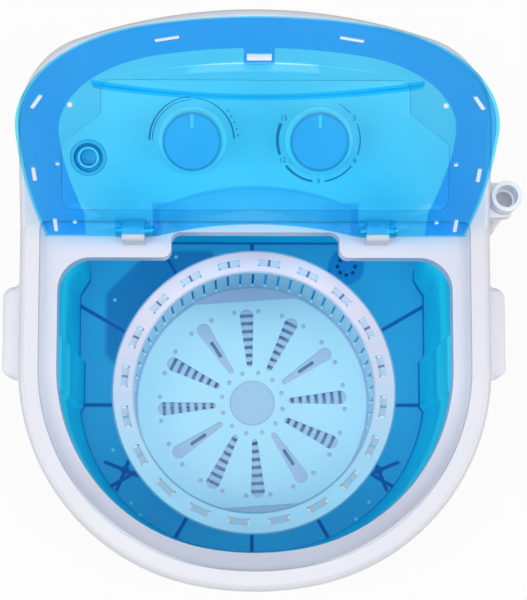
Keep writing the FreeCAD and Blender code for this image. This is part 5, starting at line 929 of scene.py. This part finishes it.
def insideLoop(x, y, loop):
    inside = False
    for (ax, ay), (bx, by) in zip(loop, loop[1:] + loop[:1]):
        if (ay > y) != (by > y) and x < ax + (y - ay) * (bx - ax) / (by - ay):
            inside = not inside
    return inside


def edgeDistance(point, line):
    best = 1.0
    for start, end in zip(line, line[1:]):
        near, share = intersect_point_line(point, Vector(start), Vector(end))
        near = Vector(start) if share < 0 else Vector(end) if share > 1 else near
        best = min(best, (point - near.to_2d()).length)
    return best


lidFront = mirrored(lidSide()) + [(0, lid["front"])] + lidSide()


def domeHeight(spot):
    run = min(edgeDistance(spot, lidFront) / lid["edgeRun"], 1.0)
    share = (spot.y - lid["front"]) / (lid["rear"] - lid["front"])
    tall = lid["frontHeight"] + (lid["rearHeight"] - lid["frontHeight"]) * share
    tall += lid["crown"] * 4 * share * (1 - share)
    return lid["bottom"] + tall * (1 - (1 - run) ** 2)


def openLid(form):
    base = Matrix.Translation(hinge["place"])
    turn = Matrix.Rotation(-hinge["open"], 4, "X")
    bmesh.ops.transform(form, matrix=base @ turn @ base.inverted(), verts=form.verts)


def innerSpots(loops):
    # an even grid inside the outline, clear of its edge and of the scoop's
    columns = int(lid["halfWidth"] / lid["cell"])
    rows = int((lid["rear"] - lid["front"]) / lid["cell"])
    clear = lid["cell"] * lid["clearShare"]
    lines = [loop + loop[:1] for loop in loops]
    for column in range(-columns, columns + 1):
        for row in range(1, rows):
            spot = Vector((column * lid["cell"], lid["front"] + row * lid["cell"]))
            if insideLoop(spot.x, spot.y, loops[0]) and min(edgeDistance(spot, line) for line in lines) > clear:
                yield spot


def makeLidShell():
    side, rear = lidSide(), lidRear()
    outline = side + rear + lidFront[:len(side) + 1]
    upper, lower = scoopLoop(0.0), scoopLoop(lid["scoopSlope"])
    loops = [outline, upper, lower]
    points = [Vector(point) for loop in loops for point in loop]
    links = []
    start = 0
    for loop in loops:
        links += [(start + step, start + (step + 1) % len(loop)) for step in range(len(loop))]
        start += len(loop)
    points += innerSpots(loops)
    flat, _, faces, origins = delaunay_2d_cdt(points, links, [], 1, lid["merge"])[:4]
    form = bmesh.new()
    verts = []
    for spot in flat:
        z = domeHeight(spot)
        if insideLoop(spot.x, spot.y, lower) or edgeDistance(spot, lower + lower[:1]) < lid["onLoop"]:
            z -= lid["scoopDeep"]
        verts.append(form.verts.new((spot.x, spot.y, z)))
    for face in faces:
        form.faces.new([verts[index] for index in face])
    # wall at the hinge side
    where = {origin: index for index, row in enumerate(origins) for origin in row}
    wallTop = [verts[where[index]] for index in range(len(side) - 1, len(side) + len(rear) + 1)]
    wallFoot = [form.verts.new((top.co.x, top.co.y, lid["foot"])) for top in wallTop]
    for step in range(len(wallTop) - 1):
        form.faces.new((wallTop[step], wallFoot[step], wallFoot[step + 1], wallTop[step + 1]))
    faceOutward(form)
    openLid(form)
    piece = newPiece("lidShell", form, "blueLid", "lid")
    wall = piece.modifiers.new("wall", "SOLIDIFY")
    wall.thickness = lid["wall"]
    wall.offset = -1.0
    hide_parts("lid_shell")


makeLidShell()
print("lid shell made")

# hinge ears of the lid, one on each side of each post
ears = {"width": 0.0046, "radius": 0.0052, "sunk": 0.001, "steps": 20, "sharp": 1.2, "bevel": 0.0004, "bevelSteps": 2}


def makeEars():
    form = bmesh.new()
    y, z = hinge["place"][1:]
    radius = ears["radius"]
    root = lid["rear"] - ears["sunk"]
    outline = [(root, z - radius)] + arcPoints((y, z), radius, 270, 450, ears["steps"]) + [(root, z + radius)]
    inner = lid["postX"] - lid["postHalf"] - ears["width"]
    outer = lid["postX"] + lid["postHalf"]
    for sign in (-1, 1):
        for start in (inner, outer):
            rings = [[form.verts.new((sign * x, *point)) for point in outline] for x in (start, start + ears["width"])]
            joinRings(form, rings)
            capEnds(form, rings)
    faceOutward(form)
    sharp = [edge for edge in form.edges if edge.calc_face_angle(0) > ears["sharp"]]
    bevelEdges(form, sharp, ears)
    openLid(form)
    newPiece("lidEars", form, "blueLid", "lid")


makeEars()
print("lid ears made")

# a pale bead under the scoop's front edge, fading out to its tips: a painted highlight of that edge
lip = {"radius": 0.0008, "reach": 0.98, "fade": 0.8, "steps": 64, "around": 8}


def makeLip():
    form = bmesh.new()
    rings = []
    for x, y in bowPoints(lid["scoopHalf"] * lip["reach"], lid["scoopY"], -lid["scoopFront"], lip["steps"]):
        middle = Vector((x, y, domeHeight(Vector((x, y))) - lid["wall"]))
        radius = lip["radius"] * (1 - (x / lid["scoopHalf"]) ** 2 * lip["fade"])
        angles = [2 * math.pi * step / lip["around"] for step in range(lip["around"])]
        ways = [Vector((0, math.cos(angle), math.sin(angle))) for angle in angles]
        rings.append([form.verts.new(middle + way * radius) for way in ways])
    joinRings(form, rings)
    capEnds(form, rings)
    faceOutward(form)
    openLid(form)
    newPiece("lidScoopHighlight", form, "scoopHighlightBlue", "lid")


makeLip()
print("scoop lip made")

# snap hooks and pins of the lid shell, standing in the slots of its frame; their white is a painted highlight on their
# ends
hooks = {"face": 0.4813, "depth": 0.0016, "length": 0.0162, "width": 0.0028, "bevel": 0.0003, "bevelSteps": 2,
         "slots": [(0.0595, -0.182, 14), (0.149, -0.116, 62), (0.158, -0.0325, 90), (0.148, 0.032, 90)],
         "middle": (0.0, -0.166, 0), "middleDepth": 0.0050,
         "pins": [(0.127, -0.112), (0.1405, -0.045), (0.1335, 0.028)], "pinRadius": 0.0019, "pinTaper": 0.8,
         "pinSteps": 24}


def makeHooks():
    form = bmesh.new()
    rows = [hooks["middle"]]
    rows += [(x * sign, y, turn * sign) for sign in (-1, 1) for x, y, turn in hooks["slots"]]
    for x, y, turn in rows:
        tall = hooks["depth"] if x else hooks["middleDepth"]
        scale = Matrix.Diagonal((hooks["length"], hooks["width"], tall, 1))
        place = Matrix.Translation((x, y, hooks["face"] + hooks["depth"] - tall / 2))
        turned = place @ Matrix.Rotation(math.radians(turn), 4, "Z")
        bmesh.ops.create_cube(form, size=1.0, matrix=turned @ scale)
    bevelEdges(form, list(form.edges), hooks)
    for sign in (-1, 1):
        for x, y in hooks["pins"]:
            place = Matrix.Translation((x * sign, y, hooks["face"] + hooks["depth"] / 2))
            radius = hooks["pinRadius"]
            bmesh.ops.create_cone(form, cap_ends=True, segments=hooks["pinSteps"], radius1=radius * hooks["pinTaper"],
                                  radius2=radius, depth=hooks["depth"], matrix=place)
    openLid(form)
    newPiece("lidHooks", form, "hookHighlightWhite", "lid")


makeHooks()
print("lid hooks made")

# screen in the bore of the water inlet, with rings of small studs
screen = {"lift": -0.0055, "radius": 0.0058, "thick": 0.0006, "steps": 48, "rings": 3, "perRing": 6, "pitch": 0.28,
          "stud": 0.00045, "studAround": 10, "studUp": 6}


def makeScreen():
    form = bmesh.new()
    place = panelMatrix(*inletLook["middle"], screen["lift"])
    radius = screen["radius"]
    bmesh.ops.create_cone(form, cap_ends=True, segments=screen["steps"], radius1=radius, radius2=radius,
                          depth=screen["thick"], matrix=place)
    for ring in range(1, screen["rings"] + 1):
        count = ring * screen["perRing"]
        for step in range(count):
            middle = around(2 * math.pi * step / count) * radius * ring * screen["pitch"]
            middle.z = screen["thick"] / 2
            bmesh.ops.create_uvsphere(form, u_segments=screen["studAround"], v_segments=screen["studUp"],
                                      radius=screen["stud"], matrix=place @ Matrix.Translation(middle))
    newPiece("inletScreen", form, "screenWhite", "casing")


makeScreen()
print("inlet screen made")
